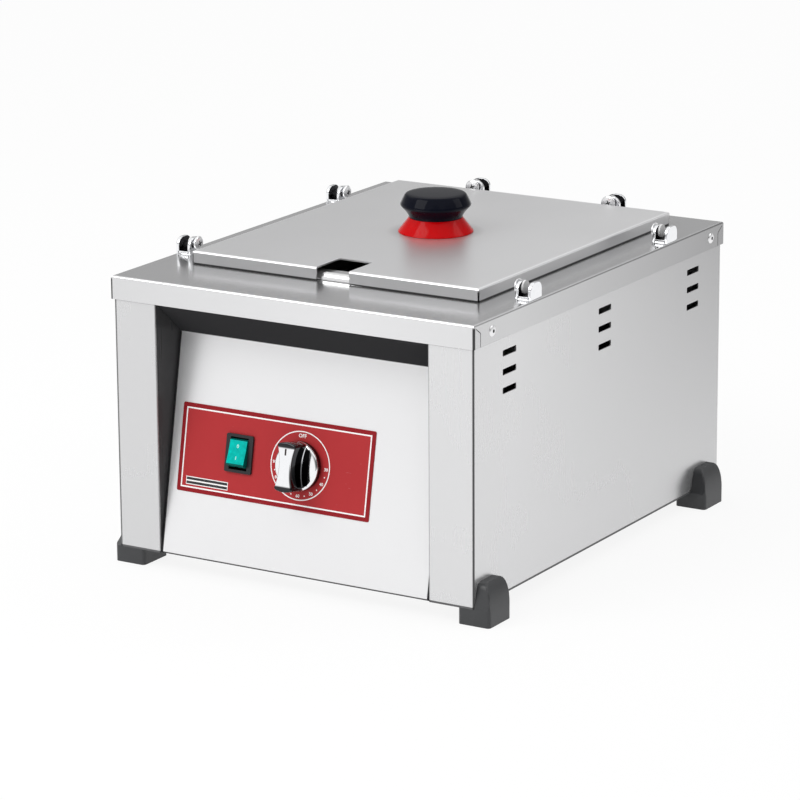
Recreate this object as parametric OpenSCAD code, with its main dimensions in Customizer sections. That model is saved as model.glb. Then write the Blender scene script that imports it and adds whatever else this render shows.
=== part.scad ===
// Counter-top electric bain-marie: a folded steel cabinet with a leaning control front,
// a hung water tank with a food pan and lid, and six clamps for a glass guard.
// X runs across the front, Y from front to back, Z up from the table.

/* [Cabinet] */
// Width of the top cover
cover_w = 350; // [340:2:380]
// Depth of the top cover
cover_d = 438; // [430:2:470]
// Height of the cabinet, from its bottom to the top of the cover
cabinet_h = 236; // [230:1:260]
// Height of the cover's skirt
skirt_h = 20; // [16:1:24]
// Thickness of the folded steel sheet
sheet_t = 1.2; // [0.9:0.1:1.4]
// Outer radius of the folded edges
bend_r = 2; // [1.8:0.1:2.6]
// Gap between the cover's skirt and the cabinet
cover_gap = 0.3; // [0.2:0.05:0.5]
// Width of the side panels' flanges at the front
flange_w = 41.4; // [36:0.2:44]
// Width of the side panels' flanges at the back
rear_flange_w = 16; // [14:1:20]
// Width of the side panels' flanges under the cabinet
floor_flange_w = 30; // [26:1:34]

/* [Front panel] */
// How far the top of the leaning panel lies behind its bottom
recess_d = 35.3; // [30:0.5:40]
// Height of the cabinet above the leaning panel
brow_h = 50; // [46:1:56]
// How far the soffit's front edge lies below the top of the cover
soffit_drop = 19.5; // [17:0.5:22]
// Gap between the front panel and the cheeks
panel_gap = 0.9; // [0.5:0.1:1.4]
// Width of the panel's bottom lip
lip_w = 25; // [22:1:30]
// How far the cheeks reach behind the leaning panel
cheek_lap = 12; // [8:1:16]
// Width of the tab under the cover's skirt
tab_w = 28; // [20:1:36]
// Middle of the tab, from the middle of the cabinet
tab_x = 114.5; // [90:1:116]
// Width of the control plate
plate_w = 189.5; // [180:1:200]
// Height of the control plate
plate_h = 75; // [70:1:82]
// Thickness of the control plate
plate_t = 0.5; // [0.3:0.1:0.8]
// Middle of the control plate, from the middle of the cabinet
plate_x = -26.25; // [-32:1:-20]
// Middle of the control plate, up the slope from the panel's bottom
plate_up = 93.3; // [90:1:100]

/* [Opening, tank and pan] */
// Width of the opening in the cover
opening_w = 246; // [244:1:250]
// Depth of the opening in the cover
opening_d = 306; // [304:1:310]
// Middle of the opening, behind the middle of the cover
opening_y = 17; // [14:1:20]
// Corner radius of the opening
opening_r = 22; // [16:1:26]
// Space between the tank's floor and the bottom of the cabinet
tank_clear = 69.8; // [60:0.2:76]
// Width of the tank's welding flange
tank_flange_w = 13; // [10:1:16]
// How far the pan's rim lies over the cover on each side
pan_lap = 9.5; // [8:0.5:11]
// Gap between the pan's mouth and the opening
pan_clear = 3; // [2.5:0.5:7]
// Height of the pan's rolled rim above the cover
pan_rim_h = 6; // [5:0.2:8]
// Space between the pan and the tank's floor
water_gap = 16.1; // [10:0.1:60]
// How much each wall of the pan draws in towards its floor
pan_draft = 9; // [5:1:14]
// Thickness of the pan's sheet
pan_t = 0.9; // [0.7:0.1:1.2]
// Radius where the pan's walls meet its floor
pan_floor_r = 14; // [8:1:20]

/* [Lid] */
// How far the lid lies over the cover at each side
lid_lap_x = 16.5; // [15:0.5:19]
// How far the lid lies over the cover in front and behind
lid_lap_y = 14; // [13:0.5:17]
// Height of the lid's skirt
lid_h = 11.2; // [9:0.2:14]
// Width of the ladle notch
notch_w = 32; // [24:1:40]
// Depth of the ladle notch, from the lid's front edge
notch_d = 37.4; // [30:0.2:46]
// Height of the red knob base
knob_base_h = 12.6; // [10:0.2:16]
// Foot radius of the red knob base
knob_base_r = 32.6; // [28:0.2:36]
// Height of the black knob cap
knob_cap_h = 21.4; // [18:0.2:26]
// Widest radius of the black knob cap
knob_cap_r = 30.5; // [27:0.5:34]

/* [Glass clamps] */
// Depth of a clamp across both jaws
clamp_d = 14.5; // [13:0.5:17]
// Width of a clamp along the cover's edge
clamp_w = 18.6; // [16:0.2:22]
// Height of a clamp
clamp_h = 14.2; // [13:0.2:17]
// Thickness of the jaws and of the clamp's base
jaw_t = 3; // [2.4:0.1:3.4]
// Rounding of the jaws' top corners
jaw_r = 7; // [4:0.5:8]
// Height of the clamp screw's axis above the cover
clamp_axis_h = 9; // [8.6:0.1:9.4]
// Radius of the clamp screw's head
clamp_head_r = 6.2; // [5:0.1:6.8]
// Travel of the clamp screw
clamp_travel = 1.6; // [1:0.1:2.2]
// Distance of the clamps from the cover's edge
clamp_inset = 1.5; // [1:0.5:3]
// Place of the front pair of side clamps, from the middle of the cover
clamp_front_y = -115.5; // [-130:1:-100]
// Place of the rear pair of side clamps, from the middle of the cover
clamp_rear_y = 123.5; // [110:1:140]
// Place of the two clamps at the back, from the middle of the cover
clamp_side_x = 70; // [50:1:90]

/* [Switch] */
// Width of the switch's bezel
bezel_w = 26.3; // [25:0.1:28]
// Length of the switch's bezel
bezel_l = 32.3; // [32:0.1:34]
// Height of the switch's bezel above the control plate
bezel_h = 2; // [1.6:0.1:2.6]
// Middle of the switch, from the middle of the cabinet
switch_x = -61.25; // [-66:1:-56]
// Middle of the switch, up the slope
switch_up = 94.65; // [90:1:100]
// Width of the panel cut-out for the switch
cutout_w = 22.2; // [21.6:0.1:23]
// Length of the panel cut-out for the switch
cutout_l = 30.2; // [29.8:0.1:31]
// Width of the rocker
rocker_w = 17.3; // [16:0.1:17.6]
// Half the length of the rocker's face
rocker_reach = 11.8; // [11:0.1:12]
// Tilt of the rocker to each side
rocker_tilt = 11; // [8:0.5:12]

/* [Thermostat] */
// Radius of the thermostat knob
dial_r = 21; // [18:0.5:23]
// Height of the thermostat knob
dial_h = 24; // [20:0.5:26]
// Height of the knob's round base
dial_base_h = 7; // [5:0.5:9]
// Middle of the thermostat, from the middle of the cabinet
dial_x = -1.5; // [-6:0.5:6]
// Middle of the thermostat, up the slope
dial_up = 92.8; // [90:0.5:98]
// Radius of the thermostat's shaft
shaft_r = 3; // [2.8:0.1:3.2]

/* [Feet and vents] */
// Height of the feet under the cabinet
foot_drop = 14; // [12:1:18]
// Length of a foot, front to back
foot_l = 35; // [32:1:38]
// Width of a foot, with the part under the cabinet
foot_w = 29.5; // [28:0.5:32]
// Height of the right feet's lugs on the side wall, from the table
lug_top = 35; // [32:1:40]
// Height of the left feet's lugs
lug_top_left = 24; // [22:1:30]
// How far the right feet stand out of the side wall
foot_reach_right = 14.5; // [12:0.5:15]
// How far the left feet stand out of the side wall
foot_reach_left = 5.5; // [5:0.5:8]
// Front foot's front edge, behind the cabinet's front
foot_front_inset = 0.5; // [0:0.5:4]
// Rear foot's rear edge, from the cabinet's back
foot_rear_inset = 17.5; // [10:0.5:24]
// Length of a vent slot
vent_l = 22; // [18:1:26]
// Height of a vent slot
vent_h = 5.2; // [4:0.2:6]
// Spacing of the vent rows
vent_pitch = 15.6; // [12:0.2:18]
// Spacing of the vent columns
vent_span = 161.5; // [150:0.5:170]
// Depth of the first vent row below the cover's top
vent_drop = 33.5; // [32:0.5:40]

/* [Hidden] */

// Fine curves, small curves and the steps of a folded edge
$fn = 64;
small_fn = 24;
bend_steps = 4;
// One overrun serves all cuts
overrun = 1;
// Gap between pieces that are set against each other
seat = 0.2;
// Radial clearance of pieces that turn or slide in a bore
running = 0.05;
// Radial clearance of screws in plain holes
screw_clear = 0.25;

// Cabinet
cover_top = foot_drop + cabinet_h;
body_w = cover_w - 2 * (sheet_t + cover_gap);
body_d = cover_d - 2 * (sheet_t + cover_gap);
front_y = -body_d / 2;
rear_y = body_d / 2;
side_x = body_w / 2;
body_top = cover_top - sheet_t - seat;
floor_top = foot_drop + 2 * sheet_t;
corner_tab_w = 11;
corner_tab_drop = 8;
seam_w = 0.8;

// Leaning front
recess_h = cabinet_h - brow_h;
soffit_h = cabinet_h - soffit_drop;
lean = atan(recess_d / recess_h);
panel_half_w = side_x - flange_w - panel_gap;
tab_t = 2;
tab_drop = 2.3;
plate_r = 1.5;
shaft_hole_r = shaft_r + 2;
fixing_span = 28;
fixing_r = 1.9;
fixing_head_r = 3.4;
fixing_head_h = 1.2;

// Pan, tank and lid
tank_wall_w = opening_w + 2 * sheet_t;
tank_wall_d = opening_d + 2 * sheet_t;
tank_floor_z = foot_drop + tank_clear;
tank_h = cover_top - sheet_t - tank_floor_z;
pan_w = opening_w + 2 * pan_lap;
pan_d = opening_d + 2 * pan_lap;
pan_mouth_w = opening_w - 2 * pan_clear;
pan_mouth_d = opening_d - 2 * pan_clear;
pan_rim_z = cover_top + seat;
pan_rim_r = 5;
pan_floor_z = tank_floor_z + sheet_t + water_gap;
pan_corner_r = 20;
pan_floor_steps = 5;
thin = pan_t / 4;
lid_w = opening_w + 2 * lid_lap_x;
lid_d = opening_d + 2 * lid_lap_y;
lid_slit_w = 1.2;
lid_z = cover_top + cover_gap;
lid_top = lid_z + lid_h;
knob_neck_r = 23.4;
knob_seat_r = 22.9;
knob_screw_r = 2.5;
knob_screw_l = 22;
knob_screw_head_r = 5;
knob_screw_head_h = 2.8;

// Clamps: base screw, pad and clamp screw
clamp_screw_r = 2;
clamp_head_h = 2.2;
clamp_slot_w = 1.1;
clamp_slot_l = 6.4;
pad_r = 5.4;
pad_t = 1.8;
base_screw_r = 2;
base_screw_l = 3.8;
base_screw_head_r = 3.8;
base_screw_head_h = 2.4;
clamp_places = [
    [-cover_w / 2 + clamp_inset, clamp_front_y, 0],
    [-cover_w / 2 + clamp_inset, clamp_rear_y, 0],
    [cover_w / 2 - clamp_inset, clamp_front_y, 180],
    [cover_w / 2 - clamp_inset, clamp_rear_y, 180],
    [-clamp_side_x, cover_d / 2 - clamp_inset, -90],
    [clamp_side_x, cover_d / 2 - clamp_inset, -90]
];

// Switch
bezel_r = 1.6;
pocket_w = rocker_w + 2 * seat;
pocket_l = 27.4;
pocket_depth = 10;
pivot_depth = 3.8;
pivot_r = 1.5;
pivot_l = 1.6;
switch_depth = 22;
rocker_edge_h = 7.2;
rocker_dip = 1.4;
rocker_heel = 3;
blade_w = 6.3;
blade_t = 0.8;
blade_l = 8;
blade_x = 5.5;
blade_up = 6;

// Thermostat
dial_gap = 0.5;
dial_edge_r = 2.4;
grip_waist = 10;
grip_scoop_r = 54;
pointer_w = 1.6;
pointer_l = 7;
pointer_depth = 0.7;
socket_depth = 13;
shaft_in = 12;
thermostat_w = 42;
thermostat_t = 30;
bracket_w = 36;
bracket_t = 1;
collar_r = 8;
lug_x = 12;
lug_l = 7;

// Probe, element and what holds them
bulb_r = 3;
bulb_l = 76;
capillary_r = 0.8;
probe_x = 0;
probe_ahead = 40;
probe_y = opening_y - probe_ahead;
element_r = 4.25;
element_x_shares = [0.36, 0.12];
element_front = 40;
element_rear = 60;
element_pin_r = 1.8;
element_pin_l = 14;
element_bend_r = 14;
strap_w = 18;
strap_t = 1.5;
strap_y = [-60, 66];
strap_stud_x = 74;
strap_l = 214;
stud_r = 2.5;
nut_r = 4.6;
nut_h = 4;
clip_w = 12;
clip_t = 1;
clip_ear = 9;

element_z = tank_floor_z - element_r - seat;
strap_z = element_z - element_r - seat - strap_t;
stud_bottom = strap_z - nut_h - strap_t;
bulb_z = tank_floor_z - bulb_r - seat;
probe_low_z = element_z - element_r - bulb_r;

// Terminal block, gland and earth stud
block_w = 64;
block_d = 26;
block_h = 20;
block_ways = 5;
block_x = -70;
block_y = 150;
block_screw_r = 2;
block_screw_h = 3;
gland_x = -100;
gland_z = 46;
gland_bore_r = 4.5;
gland_thread_r = 8;
gland_hex_r = 12;
gland_hex_h = 6;
gland_dome_h = 12;
gland_dome_r = 9.5;
gland_in = 12;
gland_nut_h = 5;
earth_x = 20;
earth_y = 165;
earth_r = 2.5;
earth_l = 16;
wire_r = 1.3;
wire_z = floor_top + wire_r + seat;
wire_lane = 6;
wire_sides = 6;
tube_sides = 10;

// Feet, rivets and screws
foot_front_y = front_y + foot_front_inset;
foot_rear_y = rear_y - foot_rear_inset - foot_l;
lug_cut = 64;
lug_steps = 6;
lug_lean = 5;
lug_front_r = 6;
lug_rear_r = 4;
foot_edge_r = 3;
foot_kick_h = 8;
foot_screw_r = 2.1;
foot_screw_x = 8;
foot_well_r = 5.2;
foot_well_h = 7;
foot_screw_head_r = 4.4;
foot_screw_head_h = 2.6;
foot_screw_l = 15;
vent_r = 1;
vent_y = 2.1;
rivet_r = 1.9;
rivet_head_r = 4.75;
rivet_head_h = 1.6;
rivet_hole_r = 1.25;
rivet_front = 27.6;
rivet_rear = 23.2;
rivet_drop = 10.2;
rivet_tail_r = 2.8;
rivet_tail_h = 3;
panel_screw_r = 1.9;
panel_screw_head_r = 3.9;
panel_screw_head_h = 2;
panel_screw_l = 6;
back_screw_z_shares = [0.16, 0.5, 0.82];
base_screw_y_shares = [-0.3, 0, 0.28];

// The finished model stands on the table with its bounding box centred
dial_out = plate_t + dial_gap + dial_h;
dial_front = front_y + (dial_up - dial_r + dial_edge_r) * sin(lean)
    - (dial_out - dial_edge_r) * cos(lean) - dial_edge_r;
gland_back = rear_y - sheet_t + gland_hex_h + gland_dome_h;
shift_x = (foot_reach_right - foot_reach_left) / 2;
shift_y = (dial_front + gland_back) / 2;

// Points on an arc around c, from angle a0 to a1
function arc(c, r, a0, a1, n) = [for (i = [0 : n]) let (a = a0 + (a1 - a0) * i / n) c + r * [cos(a), sin(a)]];
function heading(a, b) = atan2(b.y - a.y, b.x - a.x);
function swing(p, i) = let (d = heading(p[i], p[i + 1]) - heading(p[i - 1], p[i])) d - 360 * round(d / 360);
function normal_at(a) = [-sin(a), cos(a)];
// A line beside the path p at distance k to its left, with the path's corners rounded by r
function edge_line(p, r, k) = [
    for (i = [0 : len(p) - 1])
        if (i == 0 || i == len(p) - 1)
            p[i] + k * normal_at(i == 0 ? heading(p[0], p[1]) : heading(p[i - 1], p[i]))
        else
            let (h = heading(p[i - 1], p[i]), s = swing(p, i), side = sign(s),
                c = p[i] - r * tan(abs(s) / 2) * [cos(h), sin(h)] + side * r * normal_at(h))
            for (j = [0 : bend_steps]) c - side * (r - side * k) * normal_at(h + s * j / bend_steps)
];
function backwards(p) = [for (i = [len(p) - 1 : -1 : 0]) p[i]];
// A point on the leaning panel: across, up the slope and out along its normal
function panel_point(x, up, out) = [x, front_y + up * sin(lean) - out * cos(lean),
    foot_drop + up * cos(lean) + out * sin(lean)];
function unit(v) = v / norm(v);
// A 3-D route with every inner corner rounded over the length r on both sides
function eased(p, r, n) = [
    for (i = [0 : len(p) - 1])
        if (i == 0 || i == len(p) - 1) p[i]
        else let (a = p[i] + r * unit(p[i - 1] - p[i]), b = p[i] + r * unit(p[i + 1] - p[i]))
            for (j = [0 : n]) let (t = j / n) (1 - t) * (1 - t) * a + 2 * t * (1 - t) * p[i] + t * t * b
];

// Folded sheet: the outer line p, thickness t to its left (or to its right when t is negative)
module folded(p, t) {
    polygon(concat(edge_line(p, bend_r, 0), backwards(edge_line(p, bend_r, t))));
}

module rounded_rect(w, d, r) {
    square([w - 2 * r, d], center = true);
    square([w, d - 2 * r], center = true);
    for (x = [-1, 1], y = [-1, 1]) translate([x * (w / 2 - r), y * (d / 2 - r)]) circle(r);
}

module crowned_rect(w, h, r) {
    translate([-w / 2, 0]) square([w, h - r]);
    translate([r - w / 2, 0]) square([w - 2 * r, h]);
    for (x = [-1, 1]) translate([x * (w / 2 - r), h - r]) circle(r, $fn = small_fn);
}

module crowned_block(w, d, h, r) {
    intersection() {
        rotate([90, 0, 0]) linear_extrude(d, center = true) crowned_rect(w, h, r);
        rotate([90, 0, 90]) linear_extrude(w, center = true) crowned_rect(d, h, r);
    }
}

// A folded tray, open below, with rolled top edges
module tray(w, d, h) {
    difference() {
        crowned_block(w, d, h, bend_r);
        translate([0, 0, -overrun])
            crowned_block(w - 2 * sheet_t, d - 2 * sheet_t, h - sheet_t + overrun, bend_r - sheet_t);
    }
}

// Moves its children onto the leaning panel, with +Z along the panel's normal
module on_panel(x, up) {
    translate([x, front_y, foot_drop]) rotate([90 - lean, 0, 0]) translate([0, up, 0]) children();
}

module placed() {
    translate([-shift_x, -shift_y, 0]) children();
}

// A tube of n sides swept along the route p
module swept_tube(p, r, n) {
    last = len(p) - 1;
    guide = unit([1, 2, 3]);
    rings = [for (i = [0 : last]) let (
        t = unit(p[min(i + 1, last)] - p[max(i - 1, 0)]), u = unit(cross(guide, t)), v = cross(t, u))
        for (j = [0 : n - 1]) p[i] + r * (cos(360 * j / n) * u + sin(360 * j / n) * v)];
    walls = [for (i = [0 : last - 1], j = [0 : n - 1]) let (k = (j + 1) % n)
        [i * n + j, (i + 1) * n + j, (i + 1) * n + k, i * n + k]];
    polyhedron(rings, concat(walls, [[for (j = [0 : n - 1]) j], [for (j = [n - 1 : -1 : 0]) last * n + j]]),
        convexity = 6);
}

// A pan-head screw standing on z = 0 with its shank pointing down
module pan_head_screw(head_r, head_h, shank_r, shank_l) {
    rotate_extrude() polygon(concat([[0, 0], [head_r, 0]],
        arc([head_r - head_h / 2, head_h / 2], head_h / 2, 0, 90, bend_steps), [[0, head_h]]));
    translate([0, 0, -shank_l]) cylinder(r = shank_r, h = shank_l);
}

module hex_nut(r, h, bore) {
    difference() {
        cylinder(r = r, h = h, $fn = 6);
        translate([0, 0, -overrun]) cylinder(r = bore, h = h + 2 * overrun);
    }
}

// Cover and cabinet

module corner_seams() {
    for (x = [0, 1], y = [0, 1]) mirror([x, 0, 0]) mirror([0, y, 0])
        translate([cover_w / 2 - sheet_t - seat, cover_d / 2, cover_top]) rotate([90, 0, 90])
            linear_extrude(sheet_t + seat + overrun) polygon([
                [-corner_tab_w, -skirt_h - overrun], [-corner_tab_w, -corner_tab_drop],
                [-sheet_t - bend_r, -bend_r - seam_w], [-sheet_t - bend_r, -bend_r - 2 * seam_w],
                [-corner_tab_w + seam_w, -corner_tab_drop - seam_w / 2],
                    [-corner_tab_w + seam_w, -skirt_h - overrun]
            ]);
}

module rivet_places() {
    for (x = [-1, 1], y = [front_y + rivet_front, rear_y - rivet_rear])
        translate([x * cover_w / 2, y, cover_top - rivet_drop]) rotate([0, x * 90, 0]) children();
}

module clamp_place(i) {
    translate([clamp_places[i].x, clamp_places[i].y, cover_top]) rotate([0, 0, clamp_places[i].z]) children();
}

module top_cover() {
    placed() color("silver") difference() {
        translate([0, 0, cover_top - skirt_h]) tray(cover_w, cover_d, skirt_h);
        translate([0, opening_y, cover_top - skirt_h])
            linear_extrude(skirt_h + overrun) rounded_rect(opening_w, opening_d, opening_r);
        corner_seams();
        rivet_places() cylinder(r = rivet_r + screw_clear, h = 4 * sheet_t, center = true, $fn = small_fn);
        for (i = [0 : len(clamp_places) - 1]) clamp_place(i) translate([clamp_d / 2, 0, -2 * sheet_t])
            cylinder(r = base_screw_r + screw_clear, h = 3 * sheet_t, $fn = small_fn);
    }
}

module side_vents() {
    for (column = [-1 : 1], row = [0 : 2])
        translate([side_x, vent_y + column * vent_span, cover_top - vent_drop - row * vent_pitch])
            rotate([90, 0, 90]) linear_extrude(4 * sheet_t, center = true)
                rounded_rect(vent_l, vent_h, vent_r, $fn = small_fn);
}

module side_panel() {
    difference() {
        union() {
            translate([0, 0, foot_drop]) linear_extrude(body_top - foot_drop) folded([
                [side_x - flange_w, front_y], [side_x, front_y],
                [side_x, rear_y], [side_x - rear_flange_w, rear_y]], sheet_t);
            // floor flange
            translate([side_x - floor_flange_w, front_y + sheet_t / 2, foot_drop])
                cube([floor_flange_w - sheet_t / 2, body_d - sheet_t, sheet_t]);
            // cheek beside the leaning panel
            translate([side_x - flange_w, 0, 0]) rotate([90, 0, 90]) linear_extrude(sheet_t) polygon([
                [front_y, foot_drop], [front_y + cheek_lap, foot_drop],
                [front_y + recess_d + cheek_lap, foot_drop + recess_h],
                    [front_y, foot_drop + soffit_h + cheek_lap]]);
        }
        side_vents();
        foot_screw_places() cylinder(r = foot_screw_r + screw_clear, h = 4 * sheet_t, center = true,
            $fn = small_fn);
        base_screw_places() cylinder(r = panel_screw_r + screw_clear, h = 4 * sheet_t, center = true,
            $fn = small_fn);
        back_screw_places() cylinder(r = panel_screw_r + screw_clear, h = 4 * sheet_t, center = true,
            $fn = small_fn);
        rivet_places() cylinder(r = rivet_r + screw_clear, h = 6 * sheet_t, center = true, $fn = small_fn);
    }
}

module left_side_panel() {
    placed() color("gainsboro") mirror([1, 0, 0]) side_panel();
}

module right_side_panel() {
    placed() color("gainsboro") side_panel();
}

module back_panel() {
    w = body_w - 2 * (bend_r + seat);
    placed() color("lightgray") difference() {
        translate([-w / 2, rear_y - 2 * sheet_t, floor_top + seat])
            cube([w, sheet_t, body_top - floor_top - seat]);
        back_screw_places() cylinder(r = panel_screw_r + screw_clear, h = 6 * sheet_t, center = true,
            $fn = small_fn);
        translate([gland_x, rear_y, gland_z]) rotate([90, 0, 0])
            cylinder(r = gland_thread_r + screw_clear, h = 6 * sheet_t, center = true);
    }
}

module bottom_plate() {
    w = body_w - 2 * (bend_r + seat);
    y0 = front_y + cheek_lap + seat;
    placed() color("lightgray") difference() {
        translate([-w / 2, y0, foot_drop + sheet_t]) cube([w, rear_y - sheet_t - seat - y0, sheet_t]);
        foot_screw_places() cylinder(r = foot_screw_r + screw_clear, h = 6 * sheet_t, center = true,
            $fn = small_fn);
        base_screw_places() cylinder(r = panel_screw_r + screw_clear, h = 6 * sheet_t, center = true,
            $fn = small_fn);
        translate([earth_x, earth_y, foot_drop]) cylinder(r = earth_r + screw_clear, h = 4 * sheet_t,
            $fn = small_fn);
    }
}

module switch_cutout() {
    on_panel(switch_x, switch_up) translate([-cutout_w / 2, -cutout_l / 2, -2 * sheet_t])
        cube([cutout_w, cutout_l, 4 * sheet_t]);
}

module thermostat_holes(r) {
    on_panel(dial_x, dial_up) {
        translate([0, 0, -2 * sheet_t]) cylinder(r = shaft_hole_r, h = 4 * sheet_t);
        for (s = [-1, 1]) translate([s * fixing_span / 2, 0, -2 * sheet_t])
            cylinder(r = r, h = 4 * sheet_t, $fn = small_fn);
    }
}

module front_panel() {
    placed() color("whitesmoke") difference() {
        union() {
            translate([-panel_half_w, 0, 0]) rotate([90, 0, 90]) linear_extrude(2 * panel_half_w) folded([
                [front_y + lip_w, foot_drop], [front_y, foot_drop],
                [front_y + recess_d, foot_drop + recess_h], [front_y, foot_drop + soffit_h],
                [front_y, body_top]], -sheet_t);
            translate([tab_x - tab_w / 2, front_y, cover_top - skirt_h - tab_drop])
                cube([tab_w, tab_t, tab_drop + bend_r + tab_t]);
        }
        switch_cutout();
        thermostat_holes(fixing_r + screw_clear);
    }
}

module control_plate() {
    placed() color("firebrick") difference() {
        on_panel(plate_x, plate_up) linear_extrude(plate_t) rounded_rect(plate_w, plate_h, plate_r);
        switch_cutout();
        thermostat_holes(fixing_head_r + screw_clear);
    }
}

// Rocker switch

module switch_housing() {
    body_w = cutout_w - 2 * seat;
    body_l = cutout_l - 2 * seat;
    top = plate_t + bezel_h;
    placed() on_panel(switch_x, switch_up) color("dimgray") difference() {
        union() {
            translate([0, 0, plate_t]) linear_extrude(bezel_h) rounded_rect(bezel_w, bezel_l, bezel_r);
            translate([-body_w / 2, -body_l / 2, -switch_depth])
                cube([body_w, body_l, switch_depth + plate_t]);
        }
        translate([-pocket_w / 2, -pocket_l / 2, top - pocket_depth])
            cube([pocket_w, pocket_l, pocket_depth + overrun]);
        translate([0, 0, top - pivot_depth]) rotate([0, 90, 0])
            cylinder(r = pivot_r + running, h = pocket_w + 2 * pivot_l, center = true, $fn = small_fn);
    }
}

module switch_rocker() {
    half = rocker_reach;
    placed() on_panel(switch_x, switch_up) color("mediumseagreen")
        translate([0, 0, plate_t + bezel_h - pivot_depth]) rotate([-rocker_tilt, 0, 0]) {
            rotate([90, 0, 90]) linear_extrude(rocker_w, center = true) polygon([
                [-half, rocker_edge_h], [0, rocker_edge_h - rocker_dip], [half, rocker_edge_h],
                [half + seat, rocker_heel], [half - rocker_heel, -rocker_heel],
                [rocker_heel - half, -rocker_heel], [-half - seat, rocker_heel]]);
            rotate([0, 90, 0]) cylinder(r = pivot_r, h = rocker_w + 2 * pivot_l, center = true,
                $fn = small_fn);
        }
}

module switch_terminals() {
    placed() on_panel(switch_x, switch_up) color("gold")
        for (x = [-1, 1], y = [-1, 1])
            translate([x * blade_x - blade_w / 2, y * blade_up - blade_t / 2, -switch_depth - blade_l])
                cube([blade_w, blade_t, blade_l]);
}

// Thermostat

module thermostat_knob() {
    edge = dial_edge_r;
    scoop_x = grip_waist / 2 + grip_scoop_r;
    placed() on_panel(dial_x, dial_up) translate([0, 0, plate_t + dial_gap]) color("silver") difference() {
        intersection() {
            rotate_extrude() polygon(concat([[0, 0], [dial_r - edge / 2, 0], [dial_r, edge / 2]],
                arc([dial_r - edge, dial_h - edge], edge, 0, 90, bend_steps), [[0, dial_h]]));
            union() {
                rotate_extrude() polygon(concat([[0, 0], [dial_r, 0]],
                    arc([dial_r - edge, dial_base_h - edge], edge, 0, 90, bend_steps), [[0, dial_base_h]]));
                difference() {
                    translate([-scoop_x, -dial_r, 0]) cube([2 * scoop_x, 2 * dial_r, dial_h]);
                    for (s = [-1, 1]) translate([s * scoop_x, 0, -overrun]) {
                        cylinder(r = grip_scoop_r, h = dial_h + 2 * overrun);
                        translate([s * grip_scoop_r - grip_scoop_r, -2 * dial_r, 0])
                            cube([2 * grip_scoop_r, 4 * dial_r, dial_h + 2 * overrun]);
                    }
                }
            }
        }
        translate([0, 0, -overrun]) cylinder(r = shaft_r + running, h = socket_depth + overrun);
        translate([-pointer_w / 2, dial_r - pointer_l - edge, dial_h - pointer_depth])
            cube([pointer_w, pointer_l, pointer_depth + overrun]);
    }
}

module thermostat_shaft() {
    top = plate_t + dial_gap + socket_depth - seat;
    placed() on_panel(dial_x, dial_up) color("gray")
        translate([0, 0, -shaft_in]) cylinder(r = shaft_r, h = shaft_in + top);
}

module thermostat_body() {
    placed() on_panel(dial_x, dial_up) color("tan") difference() {
        union() {
            translate([0, 0, -sheet_t - bracket_t]) linear_extrude(bracket_t)
                rounded_rect(bracket_w, thermostat_w, plate_r);
            translate([0, 0, -sheet_t - bracket_t - thermostat_t])
                linear_extrude(thermostat_t) rounded_rect(thermostat_w - 2 * lug_l, thermostat_w - lug_l,
                    plate_r);
            for (x = [-1, 1], y = [-1, 1])
                translate([x * lug_x - blade_w / 2, y * blade_up - blade_t / 2,
                    -sheet_t - bracket_t - thermostat_t - lug_l]) cube([blade_w, blade_t, lug_l + blade_t]);
        }
        translate([0, 0, -shaft_in - seat]) cylinder(r = shaft_r + running, h = shaft_in + overrun);
        for (s = [-1, 1]) translate([s * fixing_span / 2, 0, -shaft_in])
            cylinder(r = fixing_r + running, h = shaft_in + overrun, $fn = small_fn);
    }
}

module thermostat_screws() {
    placed() on_panel(dial_x, dial_up) color("silver")
        for (s = [-1, 1]) translate([s * fixing_span / 2, 0, 0]) difference() {
            union() {
                cylinder(r1 = fixing_head_r, r2 = fixing_head_r - fixing_head_h / 2, h = plate_t,
                    $fn = small_fn);
                translate([0, 0, -shaft_in + seat]) cylinder(r = fixing_r, h = shaft_in, $fn = small_fn);
            }
            translate([-fixing_head_r, -clamp_slot_w / 2, plate_t / 2])
                cube([2 * fixing_head_r, clamp_slot_w, plate_t]);
        }
}

// The thin tube's route from the thermostat, under the element and up to the bulb
probe_route = [
    panel_point(dial_x, dial_up - blade_up * 2, -sheet_t - bracket_t - thermostat_t - seat),
    panel_point(dial_x, dial_up - blade_up * 2, -sheet_t - bracket_t - thermostat_t - lug_l),
    [dial_x, front_y + 2 * recess_d, probe_low_z],
    [probe_x, probe_y - bulb_l / 2 - 2 * lug_l, probe_low_z],
    [probe_x, probe_y - bulb_l / 2 + seat, bulb_z]
];

module thermostat_probe() {
    placed() color("peru") {
        translate([probe_x, probe_y + bulb_l / 2, bulb_z]) rotate([90, 0, 0])
            cylinder(r = bulb_r, h = bulb_l, $fn = small_fn);
        swept_tube(eased(probe_route, lug_l, bend_steps), capillary_r, wire_sides);
    }
}

module probe_clip() {
    half = bulb_r + seat;
    placed() color("silver") translate([probe_x, probe_y + clip_w / 2, tank_floor_z]) rotate([90, 0, 0])
        linear_extrude(clip_w)
        polygon([[-half - clip_ear, 0], [-half, 0], [-half, -2 * half], [half, -2 * half], [half, 0],
            [half + clip_ear, 0],
            [half + clip_ear, -clip_t], [half + clip_t, -clip_t], [half + clip_t, -2 * half - clip_t],
            [-half - clip_t, -2 * half - clip_t], [-half - clip_t, -clip_t], [-half - clip_ear, -clip_t]]);
}

// Tank, element and pan

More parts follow.
